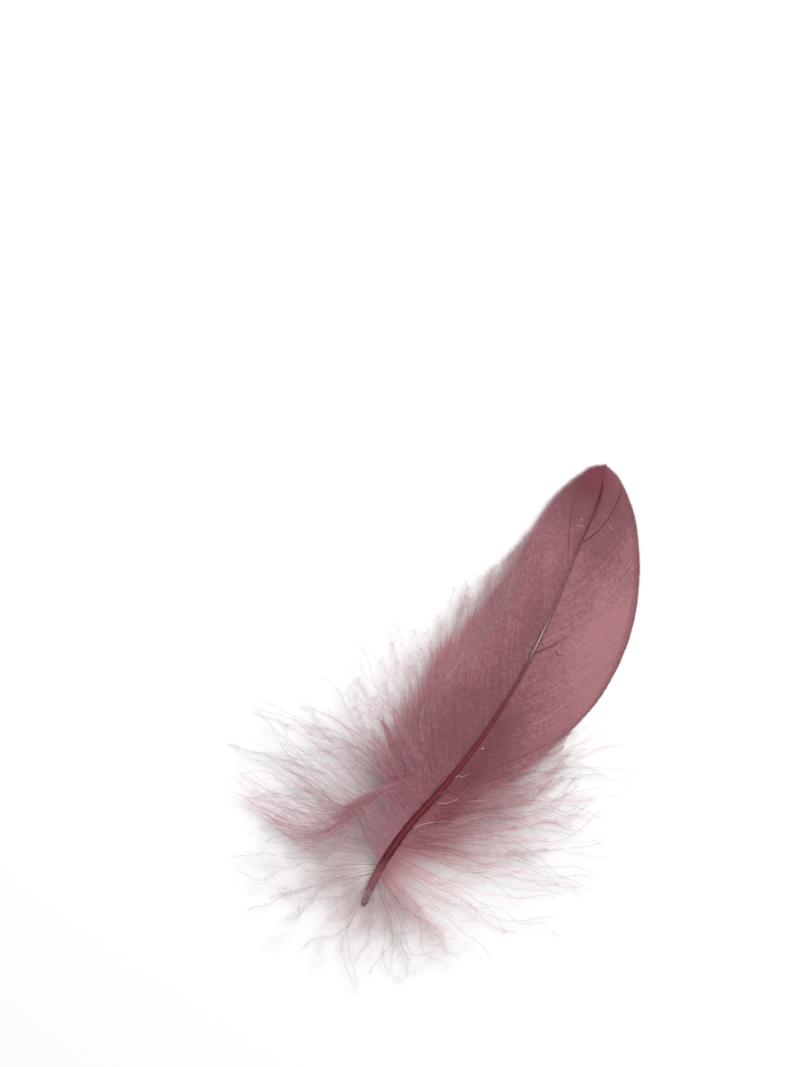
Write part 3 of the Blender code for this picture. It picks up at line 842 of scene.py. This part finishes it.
# The painted shade of the curled margin.
VANE_RIM_SHADE = (0.200, 0.055, 0.060, 1.0)
VANE_CRIMSON = (0.195, 0.042, 0.060, 1.0)
WEB_GLOW = 0.22  # how much of the light a web lets through
WEB_STREAKS = 0.42
WEB_DARKER = 0.10
CRIMSON_SLOPE = (1.4, -1.25)  # by the depth mark: the dye's depth with painted shade
RIM_SHADE_SLOPE = (12.0, -10.9)  # by how far out along the barb
LOOSE_PALER = 0.80
CREASE_SHADOW_DARK = 0.9


def make_web(name, rim_shade, level):
    """Dyed barbs: uneven dye, the webs a little darker than the ribs, crimson where the depth mark, dye
    with painted shade, is highest, the margin darker by the rim share as a painted shade of its curled
    edge, loose barbs paler, and painted crease shadows nearly brown."""
    made, tree = new_material(name)
    colour = dyed(tree, VANE_DEEP, VANE_PALE, WEB_STREAKS, level)
    # Painted shade along the margin, where it curls.
    rim_shade_share = share_by(tree, mark_of(tree, "reach"), RIM_SHADE_SLOPE)
    for share, over in (
        (calc(tree, "MULTIPLY", mark_of(tree, "edge"), WEB_DARKER), VANE_DEEP),
        (share_by(tree, mark_of(tree, "deep"), CRIMSON_SLOPE), VANE_CRIMSON),
        (calc(tree, "MULTIPLY", rim_shade_share, rim_shade), VANE_RIM_SHADE),
        (calc(tree, "MULTIPLY", mark_of(tree, "free"), LOOSE_PALER), VANE_LOOSE),
        (calc(tree, "MULTIPLY", mark_of(tree, "shade"), CREASE_SHADOW_DARK, clamp=True), VANE_CREASE_SHADOW),
    ):
        colour = blend(tree, share, colour, over)
    shader = add_node(
        tree, "ShaderNodeBsdfPrincipled",
        {
            "Base Color": colour, "Roughness": 0.60, "Specular IOR Level": 0.35,
            "Sheen Weight": 0.15, "Sheen Roughness": 0.4,
        },
    )
    show(tree, lit_through(tree, shader, colour, WEB_GLOW))
    return made


RIGHT_COUNT = 214
LEFT_COUNT = 196
HAIR_RADIUS = 0.0000115
HAIR_LEAN = 40

# Side hairs of a vane's barbs: the first barb and the one after the last, how many hairs each bears,
# the longest, and from which share of its hooked part on.
RIGHT_HAIRS = (
    (0, 24, 360, 0.0029, 1.0), (24, 38, 130, 0.0014, 0.95), (38, RIGHT_COUNT, 8, 0.0004, 0.98),
)
LEFT_HAIRS = ((0, 74, 240, 0.0029, 0.6), (74, LEFT_COUNT, 30, 0.0012, 0.98))


def vane_piece(name, vane, hairs, material, rng):
    """A vane and its side hairs, as one piece. The rows of the hairs' table share their part of the
    bake's map evenly. Gives back the barbs' lines."""
    ribs, path, held, tone = vane
    skins = [ribs]
    edges = np.linspace(*HAIR_BAND, len(hairs) + 1)
    for low, high, (first, after, count, length, start) in zip(edges, edges[1:], hairs):
        some = slice(first, after)
        skins.append(side_hairs(
            path[some], tone[some], held[some] * start, count, length, (low, high - BAND_GAP), rng,
            lean=HAIR_LEAN, radius=HAIR_RADIUS, crowd=1.1, fade=0.6,
        ))
    make_piece(name, joined(*skins), material)
    return path


chance = np.random.default_rng(11)
right_vane = vane_skin(
    RIGHT_BARBS, RIGHT_SPLITS, RIGHT_CREASE_SHADOWS, RIGHT_HOOKED, RIGHT_COUNT, side=1, spread=0.006, rng=chance
)
right_web = make_web("right_web", rim_shade=0.75, level=0.84)
right_path = vane_piece("right_vane", right_vane, RIGHT_HAIRS, right_web, chance)

left_vane = vane_skin(
    LEFT_BARBS, LEFT_SPLITS, LEFT_CREASE_SHADOWS, LEFT_HOOKED, LEFT_COUNT, side=-1, spread=0.030, rng=chance
)
left_web = make_web("left_web", rim_shade=0.0, level=0.60)
left_path = vane_piece("left_vane", left_vane, LEFT_HAIRS, left_web, chance)


# --- The down ----------------------------------------------------------------------------------------
# Round the quill the barbs have no hooks. They are long, soft and wavy, and their side hairs stand
# free, so that together they make a see-through haze with the barbs as thin lines in it. Near the
# shaft the haze is thick, and far out only the thin wavy ends are left.

# Each row is a place in a fan, from the quill's end upwards: along the shaft, lean in degrees, the
# tip's place across and along.
RIGHT_DOWN = np.array([
    (0.0060, 134, 0.0118, -0.0050),
    (0.0074, 112, 0.0190, 0.0035),
    (0.0094, 94, 0.0290, 0.0115),
    (0.0120, 80, 0.0305, 0.0190),
    (0.0145, 68, 0.0300, 0.0262),
    (0.0170, 58, 0.0296, 0.0335),
    (0.0195, 50, 0.0268, 0.0405),
    (0.0225, 46, 0.0225, 0.0450),
])
# This one goes from the right round under the quill to the left, so its leans pass a half turn.
LOW_DOWN = np.array([
    (0.0074, 108, 0.0190, 0.0035),
    (0.0067, 124, 0.0164, -0.0018),
    (0.0058, 146, 0.0108, -0.0080),
    (0.0052, 184, 0.0012, -0.0118),
    (0.0061, 218, -0.0110, -0.0080),
    (0.0074, 241, -0.0186, -0.0040),
    (0.0092, 263, -0.0220, 0.0020),
    (0.0112, 284, -0.0180, 0.0068),
])
LEFT_WISPS = np.array([
    (0.0100, -86, -0.0270, 0.0030),
    (0.0120, -82, -0.0310, 0.0090),
    (0.0140, -78, -0.0340, 0.0140),
    (0.0155, -73, -0.0360, 0.0190),
    (0.0170, -68, -0.0320, 0.0235),
    (0.0185, -64, -0.0280, 0.0275),
    (0.0200, -60, -0.0245, 0.0310),
])
LEFT_HIGH_DOWN = np.array([
    (0.0160, -62, -0.0270, 0.0205),
    (0.0190, -58, -0.0262, 0.0270),
    (0.0220, -52, -0.0225, 0.0345),
    (0.0250, -44, -0.0190, 0.0410),
    (0.0290, -38, -0.0140, 0.0480),
])
# How much of its arch a strand keeps, by its place in the fan: the places, and the share at each.
DOWN_TUCKED = ((0.50, 0.72), (1.0, 0.08))
LOW_TUCKED = ((0.00, 0.22, 0.58, 0.76, 1.00), (0.80, 0.15, 0.15, 0.50, 0.10))
DOWN_STEPS = 34
DOWN_CORNERS = 3
DOWN_RADIUS = 0.000031
LOW_RADIUS = 0.000023
WISP_RADIUS = 0.000021
DOWN_HAIR_RADIUS = 0.0000098
DOWN_ARCH = (0.00032, 0.00368)  # how far the flattest and the highest strands arch up
END_HEIGHTS = (0.0002, 0.0030)  # how high their ends stand
LEAN_STRAY = 4  # how much strands differ from the fan's lean, in degrees
TIP_STRAY = 0.0010
MOSTLY_SHORT = 1.5  # the power that crowds the strands' lengths towards the least
FALL = 1.5  # the power by which a strand comes down from the shaft's height to its end's
SWINGS = ((0.7, 1.1), (1.7, 0.60), (3.6, 0.16))  # turns for a strand's length, and how wide
SWING_RATES = (0.7, 1.3)  # how much slower or faster a strand's own are
SWING_GROWTH = 1.6  # the power by which they grow towards the tip
WAVING_LENGTH = 0.0160  # strands shorter than this swing less,
LEAST_SWING = 0.3  # but no less than this share
STEM_BAND = (0.0, 0.3)  # the part of the bake's map that the strands take
FINE_BAND = (0.31, 1.0)


def wave_aside(flat, size, rng):
    """Strands seen from above, swung from side to side by sines of their length that grow towards their
    tips. How far a short strand swings goes with its length squared, so that it doesn't kink."""
    count = len(flat)
    part = np.linspace(0, 1, flat.shape[1])[None]
    run = unit(np.gradient(flat, axis=1))
    left = np.stack([-run[..., 1], run[..., 0]], axis=-1)
    swing = 0.0
    for cycles, much in SWINGS:
        start = rng.uniform(0, 2 * np.pi, (count, 1))
        turns = cycles * rng.uniform(*SWING_RATES, (count, 1))
        wave = np.sin(2 * np.pi * turns * part + start) - np.sin(start)
        swing = swing + much * rng.normal(0, 1, (count, 1)) * wave
    length = np.linalg.norm(np.diff(flat, axis=1), axis=-1).sum(axis=1)[:, None]
    swing = swing * np.clip((length / WAVING_LENGTH) ** 2, LEAST_SWING, 1.0)
    return flat + left * (size * swing * part**SWING_GROWTH)[..., None]


def down_fan(table, rng, count, lengths, waves, crowd, tucked=DOWN_TUCKED):
    """Strands of a fan. Each bends from the shaft to its place on the fan's edge, waves aside, arches
    up by a sine, and comes down near the surface. Some keep only a share of the arch, and lie under
    the others. Their lengths lie between two shares of the fan's, most of them nearer the first. Below
    a `crowd` of one they are closer together towards the table's end."""
    part = np.linspace(0, 1, DOWN_STEPS)[None]
    fraction = ((np.arange(count) + rng.uniform(0.1, 0.9, count)) / count) ** crowd
    row = through(np.column_stack([np.linspace(0, 1, len(table)), table]), fraction)
    root = shaft_line(row[:, 0])
    lean = row[:, 1] + rng.normal(0, LEAN_STRAY, count)
    shortest, longest = lengths
    length = shortest + (longest - shortest) * rng.uniform(0, 1, (count, 1)) ** MOSTLY_SHORT
    tip = root[:, :2] + (row[:, 2:4] - root[:, :2]) * length + rng.normal(0, TIP_STRAY, (count, 2))
    flat = wave_aside(bend(root[:, None, :2], lean[:, None], tip[:, None], part), waves, rng)
    arch = rng.uniform(*DOWN_ARCH, (count, 1)) * length * np.interp(fraction, *tucked)[:, None]
    end = rng.uniform(*END_HEIGHTS, (count, 1))
    height = root[:, 2:] * (1 - part**FALL) + end * part**FALL + arch * np.sin(np.pi * part)
    return np.concatenate([flat, height[..., None]], axis=-1)


def drawn_in(path):
    """Strands, of which those that would pass the solid's side are made smaller in plan about their
    roots: their offsets are divided by the largest share of the room to that side that they take. The
    quill's end counts as the middle of the box, which it is to 0.3 mm."""
    left, right = (corner[0] for corner in solid_box)
    root = path[:, :1, :2]
    offset = path[..., :2] - root
    room = np.where(offset[..., 0] < 0, left, right) - root[..., 0]
    taken = np.maximum((offset[..., 0] / room).max(axis=1), 1.0)
    plan = root + offset / taken[:, None, None]
    return np.concatenate([plan, path[..., 2:]], axis=-1)


def strand_skin(path, radius, tone, band, thin_to):
    """Round strands that thin evenly from the root to a share of their radius at the tip."""
    own = np.linspace(0, 1, path.shape[1])
    size = (np.reshape(radius, (-1, 1)) * (1 - (1 - thin_to) * own))[..., None, None]
    turns = ring_turns(DOWN_CORNERS)
    rings = rings_round(path, size, turns)
    marks = corner_marks(
        rings.shape[:3], own_patch(len(path), turns / (2 * np.pi), own[:, None], band),
        tone=tone[:, None, None], reach=own[:, None], place=0.5, shade=1.0,
    )
    return skin(path[:, 0], rings[:, 1:-1], path[:, -1], marks[:, 1:-1])


def down_piece(
    name, path, material, rng, hairs, hair_length, crowd,
    fade=0.72, radius=DOWN_RADIUS, bare=0.02, thin_to=0.35, lean=42,
):
    """Down strands, each with so many side hairs, as one piece. The hairs begin past the strand's
    `bare` share."""
    path = drawn_in(path)
    tone = rng.uniform(0, 1, len(path))
    stems = strand_skin(path, radius, tone, STEM_BAND, thin_to)
    fine = side_hairs(
        path, tone, np.full(len(path), bare), hairs, hair_length, FINE_BAND, rng,
        lean=lean, radius=DOWN_HAIR_RADIUS, crowd=crowd, fade=fade,
    )
    make_piece(name, joined(stems, fine), material)


DOWN_DEEP = (0.750, 0.360, 0.400, 1.0)
DOWN_PALE = (0.930, 0.640, 0.650, 1.0)
LEFT_DEEP = (0.760, 0.390, 0.450, 1.0)
LEFT_PALE = (0.920, 0.650, 0.690, 1.0)
DOWN_RIB = (0.400, 0.160, 0.180, 1.0)
LOW_DEEP = (0.770, 0.470, 0.490, 1.0)
LOW_PALE = (0.820, 0.670, 0.640, 1.0)
LOW_RIB = (0.400, 0.230, 0.235, 1.0)
WISP_DEEP = (0.460, 0.330, 0.320, 1.0)
WISP_PALE = (0.660, 0.540, 0.520, 1.0)
WISP_RIB = (0.240, 0.160, 0.150, 1.0)
HAZE_DEEP = (0.560, 0.400, 0.400, 1.0)
HAZE_PALE = (0.740, 0.600, 0.590, 1.0)
DOWN_STREAKS, DOWN_LEVEL = 0.2, 0.75
SHAFT_SHADE_FADE = 2.2  # how steeply the painted shade by the shaft fades along a strand
RIB_SHARE = 0.75
FLUFF_GLOW = 0.50


def make_fluff(name, rib, shade_by_shaft, deep, pale):
    """Dyed down: paler than the vanes and lit through. The strands themselves are darker than their side
    hairs, and all of it is painted deeper near the shaft, at most by the by-shaft share: painted shade
    where the down lies thick."""
    made, tree = new_material(name)
    colour = dyed(tree, deep, pale, DOWN_STREAKS, DOWN_LEVEL)
    # Painted shade: deeper colour near the shaft, where the down lies thick.
    colour = blend(tree, share_by(tree, mark_of(tree, "reach"), (-SHAFT_SHADE_FADE, shade_by_shaft)), colour, deep)
    colour = blend(tree, calc(tree, "MULTIPLY", mark_of(tree, "shade"), RIB_SHARE), colour, rib)
    given = {"Base Color": colour, "Roughness": 0.75, "Specular IOR Level": 0.3}
    shader = add_node(tree, "ShaderNodeBsdfPrincipled", given)
    show(tree, lit_through(tree, shader, colour, FLUFF_GLOW))
    return made


right_strands = down_fan(
    RIGHT_DOWN, chance, count=74, lengths=(0.45, 1.08), waves=0.0017, crowd=0.60
)
down_piece(
    "right_down", right_strands, make_fluff("right_down", DOWN_RIB, 0.75, DOWN_DEEP, DOWN_PALE), chance,
    hairs=330, hair_length=0.0027, crowd=1.35, lean=54,
)
low_strands = down_fan(
    LOW_DOWN, chance, count=82, lengths=(0.50, 1.06), waves=0.0020, crowd=0.95, tucked=LOW_TUCKED
)
down_piece(
    "low_down", low_strands, make_fluff("low_down", LOW_RIB, 0.50, LOW_DEEP, LOW_PALE), chance,
    hairs=105, hair_length=0.0034, crowd=0.95, fade=0.30, radius=LOW_RADIUS, bare=0.26, thin_to=0.40,
    lean=76,
)
left_strands = down_fan(
    LEFT_HIGH_DOWN, chance, count=52, lengths=(0.50, 1.04), waves=0.0014, crowd=1.0
)
down_piece(
    "left_down", left_strands, make_fluff("left_down", DOWN_RIB, 0.25, LEFT_DEEP, LEFT_PALE), chance,
    hairs=235, hair_length=0.0024, crowd=1.3,
)

# The longest strands reach out past the rest. They are thin, greyer, and hairy out to their tips.
# Those on the left bear twice the hairs, and paler ones, and are a piece of their own.
right_wisps = down_fan(
    RIGHT_DOWN, chance, count=44, lengths=(0.80, 1.16), waves=0.0024, crowd=0.48
)
left_wisps = down_fan(
    LEFT_WISPS, chance, count=44, lengths=(0.62, 1.06), waves=0.0022, crowd=0.9
)
low_wisps = down_fan(
    LOW_DOWN, chance, count=24, lengths=(0.80, 1.12), waves=0.0020, crowd=1.0, tucked=LOW_TUCKED
)
down_piece(
    "long_wisps", np.concatenate([right_wisps, low_wisps]),
    make_fluff("wisp_down", WISP_RIB, 0.0, WISP_DEEP, WISP_PALE), chance,
    hairs=100, hair_length=0.0017, crowd=0.80, fade=0.45, radius=WISP_RADIUS, bare=0.40, thin_to=0.75,
)
down_piece(
    "left_wisps", left_wisps, make_fluff("haze_down", WISP_RIB, 0.0, HAZE_DEEP, HAZE_PALE), chance,
    hairs=210, hair_length=0.0025, crowd=1.15, fade=0.60, radius=WISP_RADIUS, bare=0.10, thin_to=0.70,
)


# --- The folded clump of down ------------------------------------------------------------------------
# On the left the barbs between the quill and the vane run straight out in close order, meet a fold,
# turn along it towards the quill, run together in a neck, and fan out again past it.

FOLD_ROOTS = (0.0075, 0.0215)
FOLD_COUNT = 72
FOLD_WIDTH = 0.0034  # how far in from the fold's line the lowest strands run
LANES = (0.3, 1.0)  # a strand's own share of that
FOLD_JITTER = 0.0012  # how much the strands' lanes differ besides
FOLD_MEETS = (0.64, 0.06)  # where the lowest and the highest strands meet the fold, as shares of it
FOLD_STAYS = (0.03, 1)  # for how much of the rest they follow it
FOLD_STEPS = (0.0, 0.12, 0.4, 0.7, 1.0)
LANE_TAKEN = ((0.0, 0.4, 1.0), (0.25, 0.8, 1.0))  # how much of its lane a strand has, by those steps
FOLD_SLOPE_STEP = 0.02  # the fold's direction is taken from so far to either side
FOLD_RISE = 0.0006  # how high strands arch on their way to it
FOLD_STRAY = 0.00018
FOLD_END_STRAY = (0.0011, 0.0011, 0.00022)
FAN_STRAY = 0.10  # how far from its own place in the fan a strand may end, as a share of the fan
FOLD_SHORTFALL = 0.55  # by how much a strand may fall short of the fan's end
FOLD_WAVES = 0.0009

# The fold's outer line: share, across, along, height.
FOLD = np.array([
    (0.00, -0.0010, 0.0240, 0.0048),
    (0.14, -0.0040, 0.0215, 0.0049),
    (0.26, -0.0061, 0.0198, 0.0049),
    (0.42, -0.0084, 0.0172, 0.0048),
    (0.56, -0.0101, 0.0150, 0.0046),
    (0.68, -0.0114, 0.0125, 0.0043),
    (0.84, -0.0130, 0.0095, 0.0038),
    (1.00, -0.0150, 0.0077, 0.0032),
])

# Where strands end, by how far along the fold they left it: share, across, along, height.
FOLD_ENDS = np.array([
    (0.00, -0.0260, 0.0220, 0.0016),
    (0.20, -0.0335, 0.0185, 0.0012),
    (0.40, -0.0305, 0.0100, 0.0010),
    (0.60, -0.0290, 0.0055, 0.0010),
    (0.80, -0.0262, 0.0050, 0.0008),
    (1.00, -0.0226, 0.0037, 0.0006),
])
CLUMP_STEPS = 36
CLUMP_DEEP = (0.800, 0.410, 0.460, 1.0)
CLUMP_PALE = (0.950, 0.660, 0.690, 1.0)
CLUMP_RIB = (0.340, 0.130, 0.165, 1.0)


def clump_strands(count, rng):
    """Strands that meet the fold where their own lean takes them, follow it inside its line by their
    lane, leave it at some share, and end in the fan past it. A strand is the smooth cubic through
    those places, by the distance between them, and it waves aside past the fold."""
    fraction = (np.arange(count) + 0.5) / count
    root = shaft_line(FOLD_ROOTS[0] + (FOLD_ROOTS[1] - FOLD_ROOTS[0]) * fraction)
    meet = FOLD_MEETS[0] + (FOLD_MEETS[1] - FOLD_MEETS[0]) * fraction
    share = rng.uniform(*FOLD_STAYS, count) ** 0.95
    leave = meet + (1 - meet) * share
    lane = FOLD_WIDTH * (1 - fraction) * rng.uniform(*LANES, count)
    lane = lane + rng.uniform(0, FOLD_JITTER, count)
    knots = [root]
    for step in FOLD_STEPS:
        at = meet + (leave - meet) * step
        along_fold = unit(through(FOLD, at + FOLD_SLOPE_STEP) - through(FOLD, at - FOLD_SLOPE_STEP))
        inward = np.stack([-along_fold[:, 1], along_fold[:, 0], 0 * fraction], axis=-1)
        aside = inward * (lane * np.interp(step, *LANE_TAKEN))[:, None]
        knots.append(through(FOLD, at) + aside + rng.normal(0, FOLD_STRAY, (count, 3)))
    knots.insert(1, (root + knots[1]) / 2 + FOLD_RISE * UP)
    reach = np.clip(share + rng.normal(0, FAN_STRAY, count), 0, 1)
    run_out = 1 - FOLD_SHORTFALL * rng.uniform(0, 1, (count, 1)) ** 1.2
    end = knots[-1] + (through(FOLD_ENDS, reach) - knots[-1]) * run_out
    knots.append(end + rng.normal(0, 1, (count, 3)) * FOLD_END_STRAY)
    knots = np.stack(knots, axis=1)
    gaps = np.linalg.norm(np.diff(knots, axis=1), axis=-1)
    places = np.concatenate([np.zeros((count, 1)), np.cumsum(gaps, axis=1)], axis=1)
    part = np.linspace(0, 1, CLUMP_STEPS)
    path = np.stack([
        through(np.column_stack([place / place[-1], own]), part) for place, own in zip(places, knots)
    ])
    path[..., :2] = wave_aside(path[..., :2], FOLD_WAVES, rng)
    return path


clump_fluff = make_fluff("clump_down", CLUMP_RIB, 0.15, CLUMP_DEEP, CLUMP_PALE)
down_piece(
    "down_clump", clump_strands(FOLD_COUNT, chance), clump_fluff, chance,
    hairs=290, hair_length=0.0016, crowd=1.5, fade=0.55,
)


# --- Loose fibres ------------------------------------------------------------------------------------
# Single fibres have come away and lie on the feather: a broken barb, curled hairs, and specks of dust.
# Nothing holds them. Each lies a little over the vane, and is paler than it or nearly black.

# Each fibre: its points (across, along), half its width, and how pale it is.
LOOSE_FIBRES = (
    (((0.0012, 0.0159), (0.0024, 0.0172), (0.0037, 0.0183)), 0.00017, 0.95),
    (((0.0030, 0.0178), (0.0060, 0.0196), (0.0105, 0.0215)), 0.00003, 0.90),
    (((0.0027, 0.0212), (0.0042, 0.0222), (0.0056, 0.0238)), 0.00007, 0.90),
    (((0.0033, 0.0264), (0.0036, 0.0271), (0.0043, 0.0272), (0.0050, 0.0283)), 0.00004, 1.00),
    (((0.0049, 0.0328), (0.0050, 0.0330), (0.0051, 0.0331)), 0.00010, 1.00),
    (((0.0015, 0.0730), (0.0022, 0.0732), (0.0029, 0.0732)), 0.00003, 1.00),
    (((0.0062, 0.0756), (0.0068, 0.0753), (0.0074, 0.0753)), 0.00003, 0.95),
    (((0.0017, 0.0741), (0.0018, 0.0742), (0.0019, 0.0742)), 0.00012, 1.00),
    (((0.0081, 0.0531), (0.0085, 0.0526), (0.0091, 0.0526), (0.0095, 0.0531)), 0.00007, 0.05),
    (((-0.0060, 0.0395), (-0.0052, 0.0430), (-0.0051, 0.0470)), 0.00003, 1.00),
    (((-0.0095, 0.0330), (-0.0100, 0.0372), (-0.0087, 0.0405)), 0.00003, 1.00),
    (((-0.0030, 0.0560), (-0.0036, 0.0588), (-0.0033, 0.0622)), 0.00003, 0.90),
    (((0.0100, 0.0400), (0.0124, 0.0428), (0.0136, 0.0462)), 0.00003, 0.90),
    (((-0.0040, 0.0290), (-0.0062, 0.0322), (-0.0070, 0.0365)), 0.00003, 1.00),
)
LOOSE_STEPS = 14
LOOSE_GAP = 0.00012  # how far over the vane they lie
FIBRE_DARK = (0.060, 0.020, 0.028, 1.0)
FIBRE_PALE = (0.780, 0.600, 0.620, 1.0)
FIBRE_MOTTLE_SCALE, FIBRE_MOTTLE = 3000.0, 0.3


def loose_skin(fibres, surface):
    """Thin strands through each fibre's points, a little over the height of the vane's nearest point."""
    part = np.linspace(0, 1, LOOSE_STEPS)
    paths = []
    for points, _, _ in fibres:
        flat = through(np.column_stack([np.linspace(0, 1, len(points)), points]), part)
        nearest = np.argmin(((flat[:, None] - surface[None, :, :2]) ** 2).sum(axis=-1), axis=1)
        paths.append(np.column_stack([flat, surface[nearest, 2] + LOOSE_GAP]))
    half, pale = np.array([fibre[1:] for fibre in fibres]).T
    return strand_skin(np.stack(paths), half, pale, (0.0, 1.0), 0.5)


def make_dust():
    """Stray fibres: from nearly black to a dusty white, by their tone, with a faint mottle."""
    made, tree = new_material("stray_fibre")
    mottle = noise(tree, on_object(tree), FIBRE_MOTTLE_SCALE)
    pale = vary(tree, mark_of(tree, "tone"), mottle, FIBRE_MOTTLE, clamp=True)
    colour = blend(tree, pale, FIBRE_DARK, FIBRE_PALE)
    show(tree, add_node(tree, "ShaderNodeBsdfPrincipled", {"Base Color": colour, "Roughness": 0.7}))
    return made


vane_points = np.concatenate([right_path.reshape(-1, 3), left_path.reshape(-1, 3)])
make_piece("loose_fibres", loose_skin(LOOSE_FIBRES, vane_points), make_dust())


# --- The surface, the light and the camera -----------------------------------------------------------
# A plain pale table under a large soft lamp to the upper right of the picture, seen from straight
# above with the feather turned the way it lies in the picture.

PIXEL = 0.001 / 6  # one pixel of the picture on the table
PICTURE = (800, 1067)
QUILL_PIXEL = (363, 908)
TURN = np.arctan2(236, 445)  # the feather's lean to the right of upright
LENS, SENSOR = 85.0, 36.0
FEATHER_MIDDLE = 0.003  # the height at which the picture's scale holds
LAMP_PLACE = (0.22, 0.30, 0.55)  # from the picture's middle: to its right, up it, and above
LAMP_SIZE = 0.35
LAMP_POWER = 3.1
ROOM_LIGHT = 0.66
TABLE_HALF = 3.0
TABLE_CORNERS = ((-1, -1), (1, -1), (1, 1), (-1, 1))
TABLE_COLOUR = (0.90, 0.90, 0.90, 1.0)

right_way = np.array([np.cos(TURN), np.sin(TURN), 0])
up_way = np.array([-np.sin(TURN), np.cos(TURN), 0])


def in_frame(pixel):
    """A pixel of the picture as a place on the table: so far from the quill's end, to the picture's
    right and up it, as the pixel is from the quill's, by the picture's scale."""
    right = (pixel[0] - QUILL_PIXEL[0]) * PIXEL
    up = (QUILL_PIXEL[1] - pixel[1]) * PIXEL
    return QUILL_END + right * right_way + up * up_way


middle = in_frame((PICTURE[0] / 2, PICTURE[1] / 2))
eye = bpy.data.cameras.new("picture")
eye.lens, eye.sensor_width = LENS, SENSOR
camera = place_in_scene("picture", eye)
camera.location = (*middle[:2], PICTURE[1] * PIXEL * LENS / SENSOR + FEATHER_MIDDLE)
camera.rotation_euler = (0, 0, TURN)
bpy.context.scene.camera = camera

lamp_data = bpy.data.lights.new("key", "AREA")
lamp_data.shape = "DISK"
lamp_data.size = LAMP_SIZE
lamp_data.energy = LAMP_POWER
lamp = place_in_scene("key", lamp_data)
lamp_way = right_way * LAMP_PLACE[0] + up_way * LAMP_PLACE[1] + UP * LAMP_PLACE[2]
lamp.location = middle + lamp_way
lamp.rotation_euler = Vector(-lamp_way).to_track_quat("-Z", "Y").to_euler()

table_mesh = bpy.data.meshes.new("table")
corners = [(x * TABLE_HALF, y * TABLE_HALF, 0) for x, y in TABLE_CORNERS]
table_mesh.from_pydata(corners, [], [(0, 1, 2, 3)])
table = place_in_scene("table", table_mesh)
paper, tree = new_material("pale_table")
show(tree, add_node(tree, "ShaderNodeBsdfDiffuse", {"Color": TABLE_COLOUR}))
table_mesh.materials.append(paper)

room = bpy.data.worlds.new("room")
bpy.context.scene.world = room
room.use_nodes = True
background = room.node_tree.nodes["Background"].inputs
background["Color"].default_value = (1.0, 1.0, 1.0, 1.0)
background["Strength"].default_value = ROOM_LIGHT
bpy.context.scene.view_settings.view_transform = "Standard"
